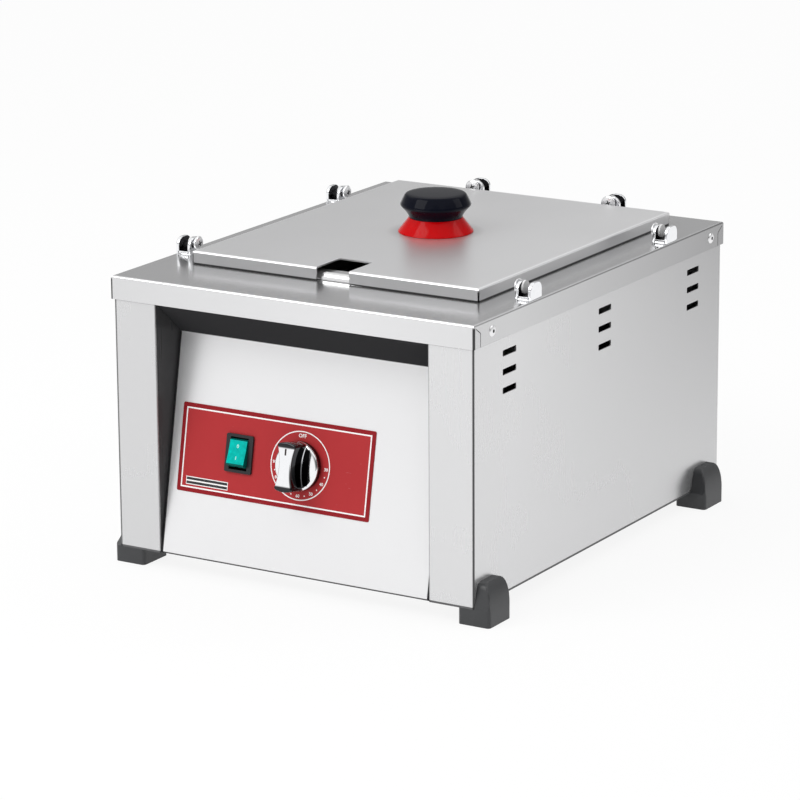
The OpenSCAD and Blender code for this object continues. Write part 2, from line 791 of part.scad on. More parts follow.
module water_tank() {
    inner_r = opening_r;
    placed() color("lightsteelblue") difference() {
        union() {
            translate([0, opening_y, tank_floor_z]) linear_extrude(tank_h)
                rounded_rect(tank_wall_w, tank_wall_d, inner_r + sheet_t);
            translate([0, opening_y, cover_top - 2 * sheet_t]) linear_extrude(sheet_t)
                rounded_rect(tank_wall_w + 2 * tank_flange_w, tank_wall_d + 2 * tank_flange_w,
                    inner_r + tank_flange_w);
            for (y = strap_y, x = [-1, 1]) translate([x * strap_stud_x, opening_y + y, stud_bottom])
                cylinder(r = stud_r, h = tank_floor_z - stud_bottom + sheet_t / 2, $fn = small_fn);
        }
        translate([0, opening_y, tank_floor_z + sheet_t]) linear_extrude(tank_h)
            rounded_rect(opening_w, opening_d, inner_r);
        for (i = [0 : len(clamp_places) - 1]) clamp_place(i)
            translate([clamp_d / 2, 0, -base_screw_l - jaw_t])
            cylinder(r = base_screw_r + 2 * screw_clear, h = base_screw_l + jaw_t, $fn = small_fn);
    }
}

// The element's route: an M with both ends at the back
function element_points() = let (x1 = element_x_shares[0] * opening_w, x2 = element_x_shares[1] * opening_w,
    y0 = opening_y - opening_d / 2 + element_front, y1 = opening_y + opening_d / 2 - element_rear,
    y2 = opening_y + opening_d / 2 - element_front / 2, z = element_z)
    [[-x2, y2, z], [-x2, y1 - element_front, z], [-x1, y1 - element_front, z], [-x1, y0, z],
     [x1, y0, z], [x1, y1 - element_front, z], [x2, y1 - element_front, z], [x2, y2, z]];

module heating_element() {
    ends = element_points();
    placed() color("dimgray") {
        swept_tube(eased(ends, element_bend_r, 2 * bend_steps), element_r, tube_sides);
        for (e = [ends[0], ends[len(ends) - 1]]) translate(e) rotate([-90, 0, 0])
            translate([0, 0, -element_pin_r]) cylinder(r = element_pin_r, h = element_pin_l, $fn = small_fn);
    }
}

module element_straps() {
    placed() color("silver") for (y = strap_y) difference() {
        translate([-strap_l / 2, opening_y + y - strap_w / 2, strap_z]) cube([strap_l, strap_w, strap_t]);
        for (x = [-1, 1]) translate([x * strap_stud_x, opening_y + y, strap_z - overrun])
            cylinder(r = stud_r + screw_clear, h = strap_t + 2 * overrun, $fn = small_fn);
    }
}

module element_nuts() {
    placed() color("gray") for (y = strap_y, x = [-1, 1])
        translate([x * strap_stud_x, opening_y + y, strap_z - nut_h]) hex_nut(nut_r, nut_h, stud_r + running);
}

// The rolled rim's outer shape, or its inner one at an inset
module pan_rim(inset) {
    r = pan_rim_r - inset;
    hull() for (i = [0 : bend_steps]) let (a = 90 * i / bend_steps, back = inset + r * (1 - cos(a)))
        translate([0, 0, pan_rim_z + pan_rim_h - pan_rim_r]) {
            translate([0, 0, r * sin(a) - thin]) linear_extrude(thin)
                rounded_rect(pan_w - 2 * back, pan_d - 2 * back, pan_corner_r - back, $fn = small_fn);
            translate([0, 0, pan_rim_r - pan_rim_h - (inset > 0 ? overrun : 0)]) linear_extrude(thin)
                rounded_rect(pan_w - 2 * inset, pan_d - 2 * inset, pan_corner_r - inset, $fn = small_fn);
        }
}

module food_pan() {
    mouth = pan_rim_z + pan_rim_h - pan_t;
    placed() translate([0, opening_y, 0]) color("lightgray") difference() {
        union() {
            difference() {
                pan_rim(0);
                pan_rim(pan_t);
            }
            hull() pan_rings(0, pan_floor_z, mouth);
        }
        hull() {
            pan_rings(pan_t, pan_floor_z + pan_t, mouth);
            translate([0, 0, mouth + overrun]) linear_extrude(overrun)
                rounded_rect(pan_mouth_w - 2 * pan_t, pan_mouth_d - 2 * pan_t, pan_corner_r - pan_t,
                    $fn = small_fn * 2);
        }
    }
}

// Rings of a tapered pan, from its rim down round the floor's edge
module pan_rings(inset, floor_z, mouth) {
    r = pan_corner_r - inset;
    w = pan_mouth_w - 2 * inset;
    d = pan_mouth_d - 2 * inset;
    translate([0, 0, mouth]) linear_extrude(thin) rounded_rect(w, d, r, $fn = small_fn);
    for (i = [0 : pan_floor_steps]) let (a = 90 * i / pan_floor_steps, back = pan_floor_r * (1 - cos(a)))
        translate([0, 0, floor_z + pan_floor_r * (1 - sin(a))]) linear_extrude(thin)
            rounded_rect(w - 2 * (pan_draft + back), d - 2 * (pan_draft + back), r, $fn = small_fn);
}

// Lid and its knob

module lid() {
    placed() translate([0, opening_y, lid_z]) color("silver") difference() {
        tray(lid_w, lid_d, lid_h);
        translate([-notch_w / 2, -lid_d / 2 - overrun, -overrun])
            cube([notch_w, notch_d + overrun, lid_h + 2 * overrun]);
        for (x = [-1, 1], y = [-1, 1]) translate([x * lid_w / 2, y * lid_d / 2, -overrun])
            rotate([0, 0, 45 * (x * y > 0 ? 1 : -1)])
                translate([-2 * bend_r, -lid_slit_w / 2, 0])
                    cube([4 * bend_r, lid_slit_w, lid_h - 1.5 * bend_r + overrun]);
        cylinder(r = knob_screw_r + screw_clear, h = lid_h + overrun, $fn = small_fn);
    }
}

module lid_knob_base() {
    placed() translate([0, opening_y, lid_top]) color("crimson") difference() {
        rotate_extrude() polygon([[0, 0], [knob_base_r, 0], [knob_base_r, sheet_t / 2],
            [knob_neck_r, knob_base_h], [0, knob_base_h]]);
        translate([0, 0, -overrun]) cylinder(r = knob_screw_r + screw_clear,
            h = knob_base_h + 2 * overrun, $fn = small_fn);
    }
}

cap_profile_shares = [[0.751, 0], [0.79, 0.13], [0.87, 0.29], [0.968, 0.44], [1, 0.52], [0.995, 0.58],
    [0.977, 0.64],
    [0.945, 0.74], [0.905, 0.85], [0.862, 0.94], [0.78, 0.982], [0.5, 0.995], [0, 1]];

module lid_knob_cap() {
    placed() translate([0, opening_y, lid_top + knob_base_h]) color("black") difference() {
        rotate_extrude() polygon(concat([[0, 0]], [for (p = cap_profile_shares) [p.x * knob_cap_r,
            p.y * knob_cap_h]]));
        translate([0, 0, -overrun]) cylinder(r = knob_screw_r + running,
            h = knob_screw_l - knob_base_h + 2 * overrun, $fn = small_fn);
    }
}

module lid_knob_screw() {
    under = lid_top - sheet_t;
    placed() translate([0, opening_y, under]) mirror([0, 0, 1]) color("silver")
        pan_head_screw(knob_screw_head_r, knob_screw_head_h, knob_screw_r, knob_screw_l + sheet_t - overrun);
}

// Terminal block, gland, earth stud and wires

module terminal_block() {
    pitch = block_w / block_ways;
    placed() translate([block_x, block_y, floor_top]) color("white") difference() {
        union() {
            translate([-block_w / 2, -block_d / 2, 0]) cube([block_w, block_d, block_h / 2]);
            for (i = [0 : block_ways - 1]) translate([-block_w / 2 + (i + 0.1) * pitch,
                -block_d / 2 + sheet_t, 0])
                cube([0.8 * pitch, block_d - 2 * sheet_t, block_h]);
        }
        for (i = [0 : block_ways - 1]) translate([-block_w / 2 + (i + 0.5) * pitch, 0, block_h / 2]) {
            for (s = [-1, 1]) translate([0, s * block_d / 4, 0])
                cylinder(r = block_screw_r + screw_clear, h = block_h, $fn = small_fn);
        }
    }
}

module terminal_screws() {
    pitch = block_w / block_ways;
    placed() translate([block_x, block_y, floor_top + block_h / 2]) color("gold")
        for (i = [0 : block_ways - 1], s = [-1, 1])
            translate([-block_w / 2 + (i + 0.5) * pitch, s * block_d / 4, 0]) difference() {
                cylinder(r = block_screw_r, h = block_h / 2 - block_screw_h, $fn = small_fn);
                translate([-block_screw_r, -blade_t / 2, block_h / 2 - block_screw_h - blade_t])
                    cube([2 * block_screw_r, blade_t, 2 * blade_t]);
            }
}

module cable_gland() {
    placed() translate([gland_x, rear_y - sheet_t, gland_z]) rotate([-90, 0, 0]) color("dimgray")
        difference() {
        union() {
            cylinder(r = gland_hex_r, h = gland_hex_h, $fn = 6);
            translate([0, 0, gland_hex_h]) cylinder(r1 = gland_hex_r * cos(30), r2 = gland_dome_r,
                h = gland_dome_h);
            translate([0, 0, -gland_in]) cylinder(r = gland_thread_r, h = gland_in + gland_hex_h / 2);
        }
        translate([0, 0, -gland_in - overrun]) cylinder(r = gland_bore_r,
            h = gland_in + gland_hex_h + gland_dome_h + 2 * overrun);
    }
}

module gland_nut() {
    placed() translate([gland_x, rear_y - 2 * sheet_t - gland_nut_h, gland_z]) rotate([-90, 0, 0])
        color("dimgray")
        hex_nut(gland_hex_r, gland_nut_h, gland_thread_r + running);
}

module earth_stud() {
    placed() translate([earth_x, earth_y, 0]) color("goldenrod") {
        translate([0, 0, foot_drop]) cylinder(r = earth_r, h = earth_l, $fn = small_fn);
        translate([0, 0, floor_top]) difference() {
            cylinder(r = nut_r, h = nut_h, $fn = 6);
            cylinder(r = earth_r - running, h = nut_h, $fn = small_fn);
        }
        translate([0, 0, floor_top - 2 * sheet_t - seat]) cylinder(r = nut_r, h = seat, $fn = 6);
    }
}

// Where a wire leaves the block: way i counted from the left, at its front or back face
function block_way(i, side) = [block_x - block_w / 2 + (i + 0.5) * block_w / block_ways,
    block_y + side * (block_d / 2 + seat), floor_top + block_h / 4];
function switch_blade(x, y) = panel_point(switch_x + x * blade_x, switch_up + y * blade_up,
    -switch_depth - blade_l - seat);
function thermostat_blade(x, y) = panel_point(dial_x + x * lug_x, dial_up + y * blade_up,
    -sheet_t - bracket_t - thermostat_t - lug_l - seat);
function inward(p, d) = p + d * [0, cos(lean), -sin(lean)];
function element_pin(s) = [s * element_x_shares[1] * opening_w,
    opening_y + opening_d / 2 - element_front / 2 + element_pin_l
    - element_pin_r + seat, element_z];
function front_run(from, way, lane) = let (end = block_way(way, -1), in = inward(from, 2 * wire_lane))
    [from, in, [end.x, in.y + lane, wire_z + 4 * wire_lane], [end.x, in.y + 3 * wire_lane + lane, end.z],
        end];

module wiring() {
    wires = [
        front_run(switch_blade(-1, -1), 0, 0), front_run(switch_blade(1, -1), 1, wire_lane),
        front_run(thermostat_blade(-1, -1), 2, 2 * wire_lane),
        [block_way(3, 1), block_way(3, 1) + [0, wire_lane, 0],
            block_way(3, 1) + [0, 2 * wire_lane, 4 * wire_lane],
            element_pin(-1) + [0, wire_lane, 0], element_pin(-1)],
        [block_way(4, 1), block_way(4, 1) + [0, wire_lane, 0],
            block_way(4, 1) + [wire_lane * 3, 2 * wire_lane, 4 * wire_lane],
            element_pin(1) + [0, wire_lane, 0], element_pin(1)]
    ];
    placed() color("saddlebrown") for (w = wires) swept_tube(eased(w, wire_lane / 2, bend_steps), wire_r,
        wire_sides);
}

// Glass clamps

module glass_clamp(i) {
    placed() clamp_place(i) color("silver") difference() {
        rotate([90, 0, 90]) linear_extrude(clamp_d) crowned_rect(clamp_w, clamp_h, jaw_r);
        translate([jaw_t, -clamp_w, jaw_t]) cube([clamp_d - 2 * jaw_t, 2 * clamp_w, clamp_h]);
        translate([clamp_d - jaw_t - overrun, 0, clamp_axis_h]) rotate([0, 90, 0])
            cylinder(r = clamp_screw_r + running, h = jaw_t + 2 * overrun, $fn = small_fn);
        translate([clamp_d / 2, 0, -overrun]) cylinder(r = base_screw_r + running,
            h = overrun + base_screw_l - sheet_t, $fn = small_fn);
    }
}

module clamp_screw(i) {
    head_x = clamp_d + clamp_travel + seat;
    placed() clamp_place(i) translate([head_x, 0, clamp_axis_h]) rotate([0, 90, 0]) color("silver")
        difference() {
        pan_head_screw(clamp_head_r, clamp_head_h, clamp_screw_r,
            head_x - clamp_d + jaw_t + seat + pad_t / 2);
        for (a = [0, 90]) rotate([0, 0, a]) translate([-clamp_slot_l / 2, -clamp_slot_w / 2,
            clamp_head_h / 2])
            cube([clamp_slot_l, clamp_slot_w, clamp_head_h]);
    }
}

module clamp_pad(i) {
    placed() clamp_place(i) translate([clamp_d - jaw_t - seat - pad_t, 0, clamp_axis_h])
        rotate([0, 90, 0]) color("gray")
        difference() {
            cylinder(r = pad_r, h = pad_t);
            translate([0, 0, pad_t / 2 - seat / 2]) cylinder(r = clamp_screw_r + running, h = pad_t,
                $fn = small_fn);
        }
}

module clamp_fixing_screws() {
    placed() color("gray") for (i = [0 : len(clamp_places) - 1]) clamp_place(i)
        translate([clamp_d / 2, 0, -sheet_t]) mirror([0, 0, 1])
            pan_head_screw(base_screw_head_r, base_screw_head_h, base_screw_r, base_screw_l - seat / 2,
                $fn = small_fn);
}

// Feet and small fixings

module foot_screw_places() {
    for (x = [-1, 1], y = [foot_front_y, foot_rear_y])
        translate([x * (side_x - foot_screw_x), y + foot_l / 2, foot_drop]) children();
}

module base_screw_places() {
    for (x = [-1, 1], s = base_screw_y_shares)
        translate([x * (side_x - floor_flange_w / 2), s * body_d, foot_drop]) children();
}

module back_screw_places() {
    for (x = [-1, 1], s = back_screw_z_shares)
        translate([x * (side_x - rear_flange_w / 2), rear_y, foot_drop + s * cabinet_h])
            rotate([-90, 0, 0]) children();
}

// A foot on the right side, from the front edge at y = 0 back, with its lug's outer side an
// ellipse that is cut off at the top
module foot(reach, top, y) {
    rise = (top - foot_kick_h) / sin(lug_cut);
    color("darkslategray") translate([side_x, y, 0]) difference() {
        intersection() {
            translate([0, foot_l, 0]) rotate([90, 0, 0]) linear_extrude(foot_l) polygon(concat(
                [[reach - foot_w, 0], [reach, 0]],
                [for (i = [0 : lug_steps]) let (a = lug_cut * i / lug_steps)
                    [reach * cos(a), foot_kick_h + rise * sin(a)]],
                [[0, top], [0, foot_drop], [reach - foot_w, foot_drop]]));
            translate([-foot_w, 0, 0]) rotate([90, 0, 90]) linear_extrude(2 * foot_w) polygon(concat(
                [[0, foot_drop], [0, 0], [foot_l, 0]],
                arc([foot_l - lug_rear_r, top - lug_rear_r], lug_rear_r, 0, 90, bend_steps),
                arc([lug_lean + lug_front_r, top - lug_front_r], lug_front_r, 90, 165, bend_steps)));
            translate([reach - foot_w / 2, foot_l / 2, 0]) linear_extrude(top)
                rounded_rect(foot_w, foot_l, foot_edge_r);
        }
        translate([-foot_screw_x, foot_l / 2, -overrun]) {
            cylinder(r = foot_well_r, h = foot_well_h + overrun, $fn = small_fn);
            cylinder(r = foot_screw_r + screw_clear, h = foot_drop + 2 * overrun, $fn = small_fn);
        }
    }
}

module foot_front_left() {
    placed() mirror([1, 0, 0]) foot(foot_reach_left, lug_top_left, foot_front_y);
}

module foot_front_right() {
    placed() foot(foot_reach_right, lug_top, foot_front_y);
}

module foot_rear_left() {
    placed() mirror([1, 0, 0]) foot(foot_reach_left, lug_top_left, foot_rear_y);
}

module foot_rear_right() {
    placed() foot(foot_reach_right, lug_top, foot_rear_y);
}

module foot_screws() {
    placed() color("gray") foot_screw_places() translate([0, 0, foot_well_h - foot_drop]) mirror([0, 0, 1])
        pan_head_screw(foot_screw_head_r, foot_screw_head_h, foot_screw_r, foot_screw_l, $fn = small_fn);
}

module cover_rivets() {
    placed() color("silver") rivet_places() difference() {
        union() {
            rotate_extrude($fn = small_fn) polygon(concat([[0, 0]],
                [for (i = [0 : bend_steps]) let (a = 90 * i / bend_steps) [rivet_head_r * cos(a),
                    rivet_head_h * sin(a)]]));
            translate([0, 0, -3 * sheet_t - rivet_tail_h / 2])
                cylinder(r = rivet_r, h = 3 * sheet_t + rivet_tail_h / 2, $fn = small_fn);
            translate([0, 0, -2 * sheet_t - cover_gap - rivet_tail_h - seat / 2])
                cylinder(r = rivet_tail_r, h = rivet_tail_h, $fn = small_fn);
        }
        translate([0, 0, rivet_head_h / 2]) cylinder(r = rivet_hole_r, h = rivet_head_h, $fn = small_fn);
    }
}

module base_screws() {
    placed() color("gray") base_screw_places() mirror([0, 0, 1])
        pan_head_screw(panel_screw_head_r, panel_screw_head_h, panel_screw_r, panel_screw_l, $fn = small_fn);
}

module back_screws() {
    placed() color("gray") back_screw_places()
        pan_head_screw(panel_screw_head_r, panel_screw_head_h, panel_screw_r, panel_screw_l, $fn = small_fn);
}

top_cover();
left_side_panel();
right_side_panel();
back_panel();
bottom_plate();
front_panel();
control_plate();
switch_housing();
switch_rocker();
switch_terminals();
thermostat_knob();
thermostat_shaft();
thermostat_body();
thermostat_screws();
thermostat_probe();
probe_clip();
water_tank();
food_pan();
lid();
lid_knob_base();
lid_knob_cap();
lid_knob_screw();
heating_element();
element_straps();
element_nuts();
terminal_block();
terminal_screws();
cable_gland();
gland_nut();
earth_stud();
wiring();
glass_clamp(0);  // glass_clamp_left_front
glass_clamp(1);  // glass_clamp_left_rear
glass_clamp(2);  // glass_clamp_right_front
glass_clamp(3);  // glass_clamp_right_rear
glass_clamp(4);  // glass_clamp_back_left
glass_clamp(5);  // glass_clamp_back_right
clamp_screw(0);  // clamp_screw_left_front
clamp_screw(1);  // clamp_screw_left_rear
clamp_screw(2);  // clamp_screw_right_front
clamp_screw(3);  // clamp_screw_right_rear
clamp_screw(4);  // clamp_screw_back_left
clamp_screw(5);  // clamp_screw_back_right
clamp_pad(0);  // clamp_pad_left_front
clamp_pad(1);  // clamp_pad_left_rear
clamp_pad(2);  // clamp_pad_right_front
clamp_pad(3);  // clamp_pad_right_rear
clamp_pad(4);  // clamp_pad_back_left
clamp_pad(5);  // clamp_pad_back_right
clamp_fixing_screws();
foot_front_left();
foot_front_right();
foot_rear_left();
foot_rear_right();
foot_screws();
cover_rivets();
base_screws();
back_screws();
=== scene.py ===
"""Looks of the counter-top electric bain-marie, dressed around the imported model.

All lengths are in metres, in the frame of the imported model: X runs across the front,
Y from front to back and Z up from the table.
"""

from __future__ import annotations

import logging
import math
from dataclasses import dataclass, field
from enum import Enum
from typing import Callable, Iterable, Sequence

import bmesh
import bpy
from mathutils import Matrix, Vector


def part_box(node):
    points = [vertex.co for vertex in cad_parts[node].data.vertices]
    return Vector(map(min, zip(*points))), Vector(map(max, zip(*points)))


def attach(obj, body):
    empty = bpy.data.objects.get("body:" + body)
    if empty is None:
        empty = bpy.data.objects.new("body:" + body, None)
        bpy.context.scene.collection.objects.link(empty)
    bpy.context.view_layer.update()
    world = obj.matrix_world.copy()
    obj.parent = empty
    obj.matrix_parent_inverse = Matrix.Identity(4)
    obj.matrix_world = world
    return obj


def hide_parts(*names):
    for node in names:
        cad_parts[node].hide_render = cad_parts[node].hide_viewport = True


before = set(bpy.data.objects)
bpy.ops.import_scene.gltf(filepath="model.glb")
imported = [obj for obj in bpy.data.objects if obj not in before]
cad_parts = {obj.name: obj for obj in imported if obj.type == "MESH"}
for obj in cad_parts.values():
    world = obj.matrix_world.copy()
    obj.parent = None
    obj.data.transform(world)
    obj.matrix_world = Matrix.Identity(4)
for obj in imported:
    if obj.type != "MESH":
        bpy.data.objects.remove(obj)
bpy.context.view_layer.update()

LOG = logging.getLogger("bain_marie")

Colour = tuple[float, float, float]
Point = tuple[float, float, float]
Flat = tuple[float, float]
Work = bmesh.types.BMesh
Mesh = bpy.types.Mesh
Material = bpy.types.Material
Tree = bpy.types.NodeTree
Node = bpy.types.Node
Socket = bpy.types.NodeSocket

ACROSS = (1.0, 0.0, 0.0)
INWARDS = (0.0, 1.0, 0.0)
UPWARDS = (0.0, 0.0, 1.0)
WELD = 1e-7
UPRIGHT = Matrix(((0, 0, 1, 0), (1, 0, 0, 0), (0, 1, 0, 0), (0, 0, 0, 1)))


def tone(red: int, green: int, blue: int) -> Colour:
    """Turn a colour as seen on a screen, 0 to 255, into linear light.

    Args:
        red: Red part.
        green: Green part.
        blue: Blue part.

    Returns:
        The three parts in linear light.
    """
    def part(value: int) -> float:
        """One part in linear light, by the sRGB curve."""
        share = value / 255
        return share / 12.92 if share <= 0.04045 else ((share + 0.055) / 1.055) ** 2.4

    return part(red), part(green), part(blue)


class Axis(Enum):
    """The direction that the grain of a brushed sheet runs in."""

    ACROSS = 0
    DEPTH = 1
    HEIGHT = 2


class Term:
    """A number inside a shader, on which plain arithmetic adds Math nodes."""

    def __init__(self, maker: "NodeMaker", socket: Socket) -> None:
        """Wrap a socket of the maker's tree."""
        self.maker = maker
        self.socket = socket

    def apply(self, operation: str, *others: "Term | float", clamp: bool = False) -> "Term":
        """Add one Math node.

        Args:
            operation: The node's operation.
            *others: The further operands.
            clamp: Whether the result stays between 0 and 1.

        Returns:
            The result as a new term.
        """
        settings = {"operation": operation, "use_clamp": clamp}
        return Term(self.maker, self.maker.add("ShaderNodeMath", settings, [self, *others]).outputs[0])

    def __add__(self, other: "Term | float") -> "Term":
        """Sum."""
        return self.apply("ADD", other)

    __radd__ = __add__

    def __sub__(self, other: "Term | float") -> "Term":
        """Difference."""
        return self.apply("SUBTRACT", other)

    def __rsub__(self, other: float) -> "Term":
        """Difference from a plain number."""
        return self.apply("MULTIPLY", -1.0).apply("ADD", other)

    def __mul__(self, other: "Term | float") -> "Term":
        """Product."""
        return self.apply("MULTIPLY", other)

    __rmul__ = __mul__

    def size(self) -> "Term":
        """Value without its sign."""
        return self.apply("ABSOLUTE")

    def above(self, edge: float, soft: float) -> "Term":
        """Rise from 0 to 1 where the value passes an edge.

        Args:
            edge: The middle of the rise.
            soft: Half the width of the rise.

        Returns:
            The mask.
        """
        return ((self - (edge - soft)) * (0.5 / soft)).apply("MINIMUM", 1.0, clamp=True)

    def below(self, edge: float, soft: float) -> "Term":
        """Fall from 1 to 0 where the value passes an edge."""
        return 1.0 - self.above(edge, soft)

    def capped(self) -> "Term":
        """Value, but 1 at most."""
        return self.apply("MINIMUM", 1.0)


class NodeMaker:
    """Adds nodes to one tree."""

    def __init__(self, tree: Tree) -> None:
        """Start with an empty tree."""
        self.tree = tree
        tree.nodes.clear()

    def add(self, kind: str, settings: dict, inputs: dict | Sequence = ()) -> Node:
        """Add one node.

        Args:
            kind: The node's type.
            settings: Its properties, set before its sockets.
            inputs: Values, terms or sockets, by name or in order.

        Returns:
            The new node.
        """
        node = self.tree.nodes.new(kind)
        for key, value in settings.items():
            setattr(node, key, value)
        pairs = inputs.items() if isinstance(inputs, dict) else enumerate(inputs)
        for key, value in pairs:
            self.feed(node.inputs[key], value)
        return node

    def feed(self, target: Socket, value: object) -> None:
        """Link a term or a socket to an input, or set the input to a plain value.

        Args:
            target: The input.
            value: What it gets.
        """
        if isinstance(value, Term):
            value = value.socket
        if isinstance(value, Socket):
            self.tree.links.new(value, target)
        else:
            target.default_value = value

    def place(self) -> Socket:
        """Object coordinates of the shaded point."""
        return self.add("ShaderNodeTexCoord", {}).outputs["Object"]

    def along(self, vector: Socket, direction: Point) -> Term:
        """Length of a vector along a direction."""
        node = self.add("ShaderNodeVectorMath", {"operation": "DOT_PRODUCT"}, [vector, direction])
        return Term(self, node.outputs["Value"])

    def noise(self, vector: Socket, scale: float, stretch: Point = (1, 1, 1), detail: float = 2.0) -> Term:
        """Noise at a place.

        Args:
            vector: The place.
            scale: Features for each metre.
            stretch: Factor on each axis; a small one draws the features out.
            detail: Octaves.

        Returns:
            The noise, about 0.5 in the mean.
        """
        mapped = self.add("ShaderNodeMapping", {}, {"Vector": vector, "Scale": stretch})
        inputs = {"Vector": mapped.outputs[0], "Scale": scale, "Detail": detail}
        node = self.add("ShaderNodeTexNoise", {}, inputs)
        return Term(self, node.outputs["Fac"])

    def blend(self, factor: Term | float, first: Colour | Socket, second: Colour | Socket) -> Socket:
        """Mix two colours.

        Args:
            factor: Share of the second colour.
            first: The first colour.
            second: The second colour.

        Returns:
            The mixed colour.
        """
        node = self.add("ShaderNodeMix", {"data_type": "RGBA"})
        for key, value in (("Factor_Float", factor), ("A_Color", first), ("B_Color", second)):
            target = next(socket for socket in node.inputs if socket.identifier == key)
            self.feed(target, (*value, 1.0) if isinstance(value, tuple) else value)
        return next(socket for socket in node.outputs if socket.identifier == "Result_Color")


@dataclass(frozen=True)
class Finish:
    """What every finish has in common."""

    name: str
    colour: Colour
    roughness: float

    def build(self) -> Material:
        """Make the material.

        Returns:
            The material with its node tree.
        """
        material = bpy.data.materials.new(self.name)
        material.use_nodes = True
        maker = NodeMaker(material.node_tree)
        shader = maker.add("ShaderNodeBsdfPrincipled", {})
        out = maker.add("ShaderNodeOutputMaterial", {})
        maker.tree.links.new(shader.outputs[0], out.inputs["Surface"])
        self.dress(maker, shader)
        return material

    def dress(self, maker: NodeMaker, shader: Node) -> None:
        """Fill in the shader; each finish has its own way."""
        raise NotImplementedError

    def link(self, maker: NodeMaker, shader: Node, **values: object) -> None:
        """Set or link the shader's sockets.

        Args:
            maker: The shader's tree.
            shader: The shader.
            **values: What each socket gets, its name written with underscores for spaces.
        """
        for key, value in values.items():
            maker.feed(shader.inputs[key.replace("_", " ")], value)

    def bump(self, maker: NodeMaker, height: Term, depth: float, strength: float) -> Socket:
        """Relief of the surface.

        Args:
            maker: The tree.
            height: The relief's pattern.
            depth: Its depth in metres.
            strength: Its strength, 0 to 1.

        Returns:
            The normal.
        """
        node = maker.add("ShaderNodeBump", {}, {"Strength": strength, "Distance": depth, "Height": height})
        return node.outputs[0]


@dataclass(frozen=True)
class BrushedSheet(Finish):
    """Satin stainless sheet with a grain and faint handling marks."""

    grain: Axis = Axis.HEIGHT
    grain_scale: float = 1300.0
    grain_depth: float = 0.000012
    grain_strength: float = 0.2
    grain_stretch: float = 0.02
    cloud_scale: float = 9.0
    cloud_change: float = 0.06
    contrast: float = 0.022
    metal: float = 0.8
    gleam: float = 0.12
    # Painted light: a brightness by place that multiplies the colour. The shade below is painted shade,
    # blended in shade_colour.
    wash: Callable[[NodeMaker, Socket], Term] | None = None
    shade: Callable[[NodeMaker, Socket], Term] | None = None
    shade_colour: Colour = (0.036, 0.036, 0.038)

    def dress(self, maker: NodeMaker, shader: Node) -> None:
        """Grain, clouding, and the painted light and painted shade of the sheet.

        Args:
            maker: The shader's tree.
            shader: The shader.
        """
        place = maker.place()
        stretch = [1.0, 1.0, 1.0]
        stretch[self.grain.value] = self.grain_stretch
        grain = maker.noise(place, self.grain_scale, tuple(stretch), 3.0)
        cloud = maker.noise(place, self.cloud_scale)
        rough = self.roughness + (grain - 0.5) * (self.contrast * 3)
        rough = rough + (cloud - 0.5) * self.cloud_change
        metal = self.metal
        light = 1.0 + (grain - 0.5) * self.contrast + (cloud - 0.5) * (self.contrast * 0.8)
        # Painted light and painted shade, by place on the sheet.
        if self.wash is not None:
            light = light * self.wash(maker, place)
        plain = maker.blend(light * 0.5, (0.0, 0.0, 0.0), tuple(2 * part for part in self.colour))
        # Painted shade: dark places blended in, with less metal there.
        if self.shade is not None:
            mask = self.shade(maker, place)
            plain = maker.blend(mask, plain, self.shade_colour)
            metal = (1.0 - mask) * self.metal
        self.link(maker, shader, Base_Color=plain, Metallic=metal, Roughness=rough,
                  Specular_IOR_Level=self.gleam)
        if self.grain_depth > 0:
            relief = self.bump(maker, grain, self.grain_depth, self.grain_strength)
            self.link(maker, shader, Normal=relief)


@dataclass(frozen=True)
class Polished(Finish):
    """Chrome and other bright metal, with faint smears."""

    smear: float = 0.04
    smear_scale: float = 260.0
    dimmest: float = 0.94
    shade: Callable[[NodeMaker, Socket], Term] | None = None
    shade_colour: Colour = (0.014, 0.014, 0.016)

    def dress(self, maker: NodeMaker, shader: Node) -> None:
        """Mirror-like metal whose roughness drifts a little.

        Args:
            maker: The shader's tree.
            shader: The shader.
        """
        place = maker.place()
        cloud = maker.noise(place, self.smear_scale)
        rough = self.roughness + (cloud - 0.4) * self.smear
        colour = maker.blend(cloud, self.colour, tuple(part * self.dimmest for part in self.colour))
        # Painted dark reflections, where the finish has a shade.
        if self.shade is not None:
            colour = maker.blend(self.shade(maker, place), colour, self.shade_colour)
        self.link(maker, shader, Base_Color=colour, Metallic=1.0, Roughness=rough)


@dataclass(frozen=True)
class Moulded(Finish):
    """Moulded plastic or rubber with a fine skin and slight uneven colour."""

    gleam: float = 0.5
    skin_scale: float = 2400.0
    skin_depth: float = 0.00003
    skin_strength: float = 0.35
    skin_change: float = 0.12
    drift: float = 0.12
    drift_scale: float = 60.0
    glow: float = 0.0

    def dress(self, maker: NodeMaker, shader: Node) -> None:
        """Skin, drift of the colour and an optional glow.

        Args:
            maker: The shader's tree.
            shader: The shader.
        """
        place = maker.place()
        skin = maker.noise(place, self.skin_scale)
        cloud = maker.noise(place, self.drift_scale)
        darker = tuple(part * (1 - self.drift) for part in self.colour)
        colour = maker.blend(cloud, darker, tuple(part * (1 + self.drift) for part in self.colour))
        rough = self.roughness + (skin - 0.5) * self.skin_change
        self.link(maker, shader, Base_Color=colour, Roughness=rough, Specular_IOR_Level=self.gleam,
                  Normal=self.bump(maker, skin, self.skin_depth, self.skin_strength))
        if self.glow > 0:
            self.link(maker, shader, Emission_Color=colour, Emission_Strength=self.glow)


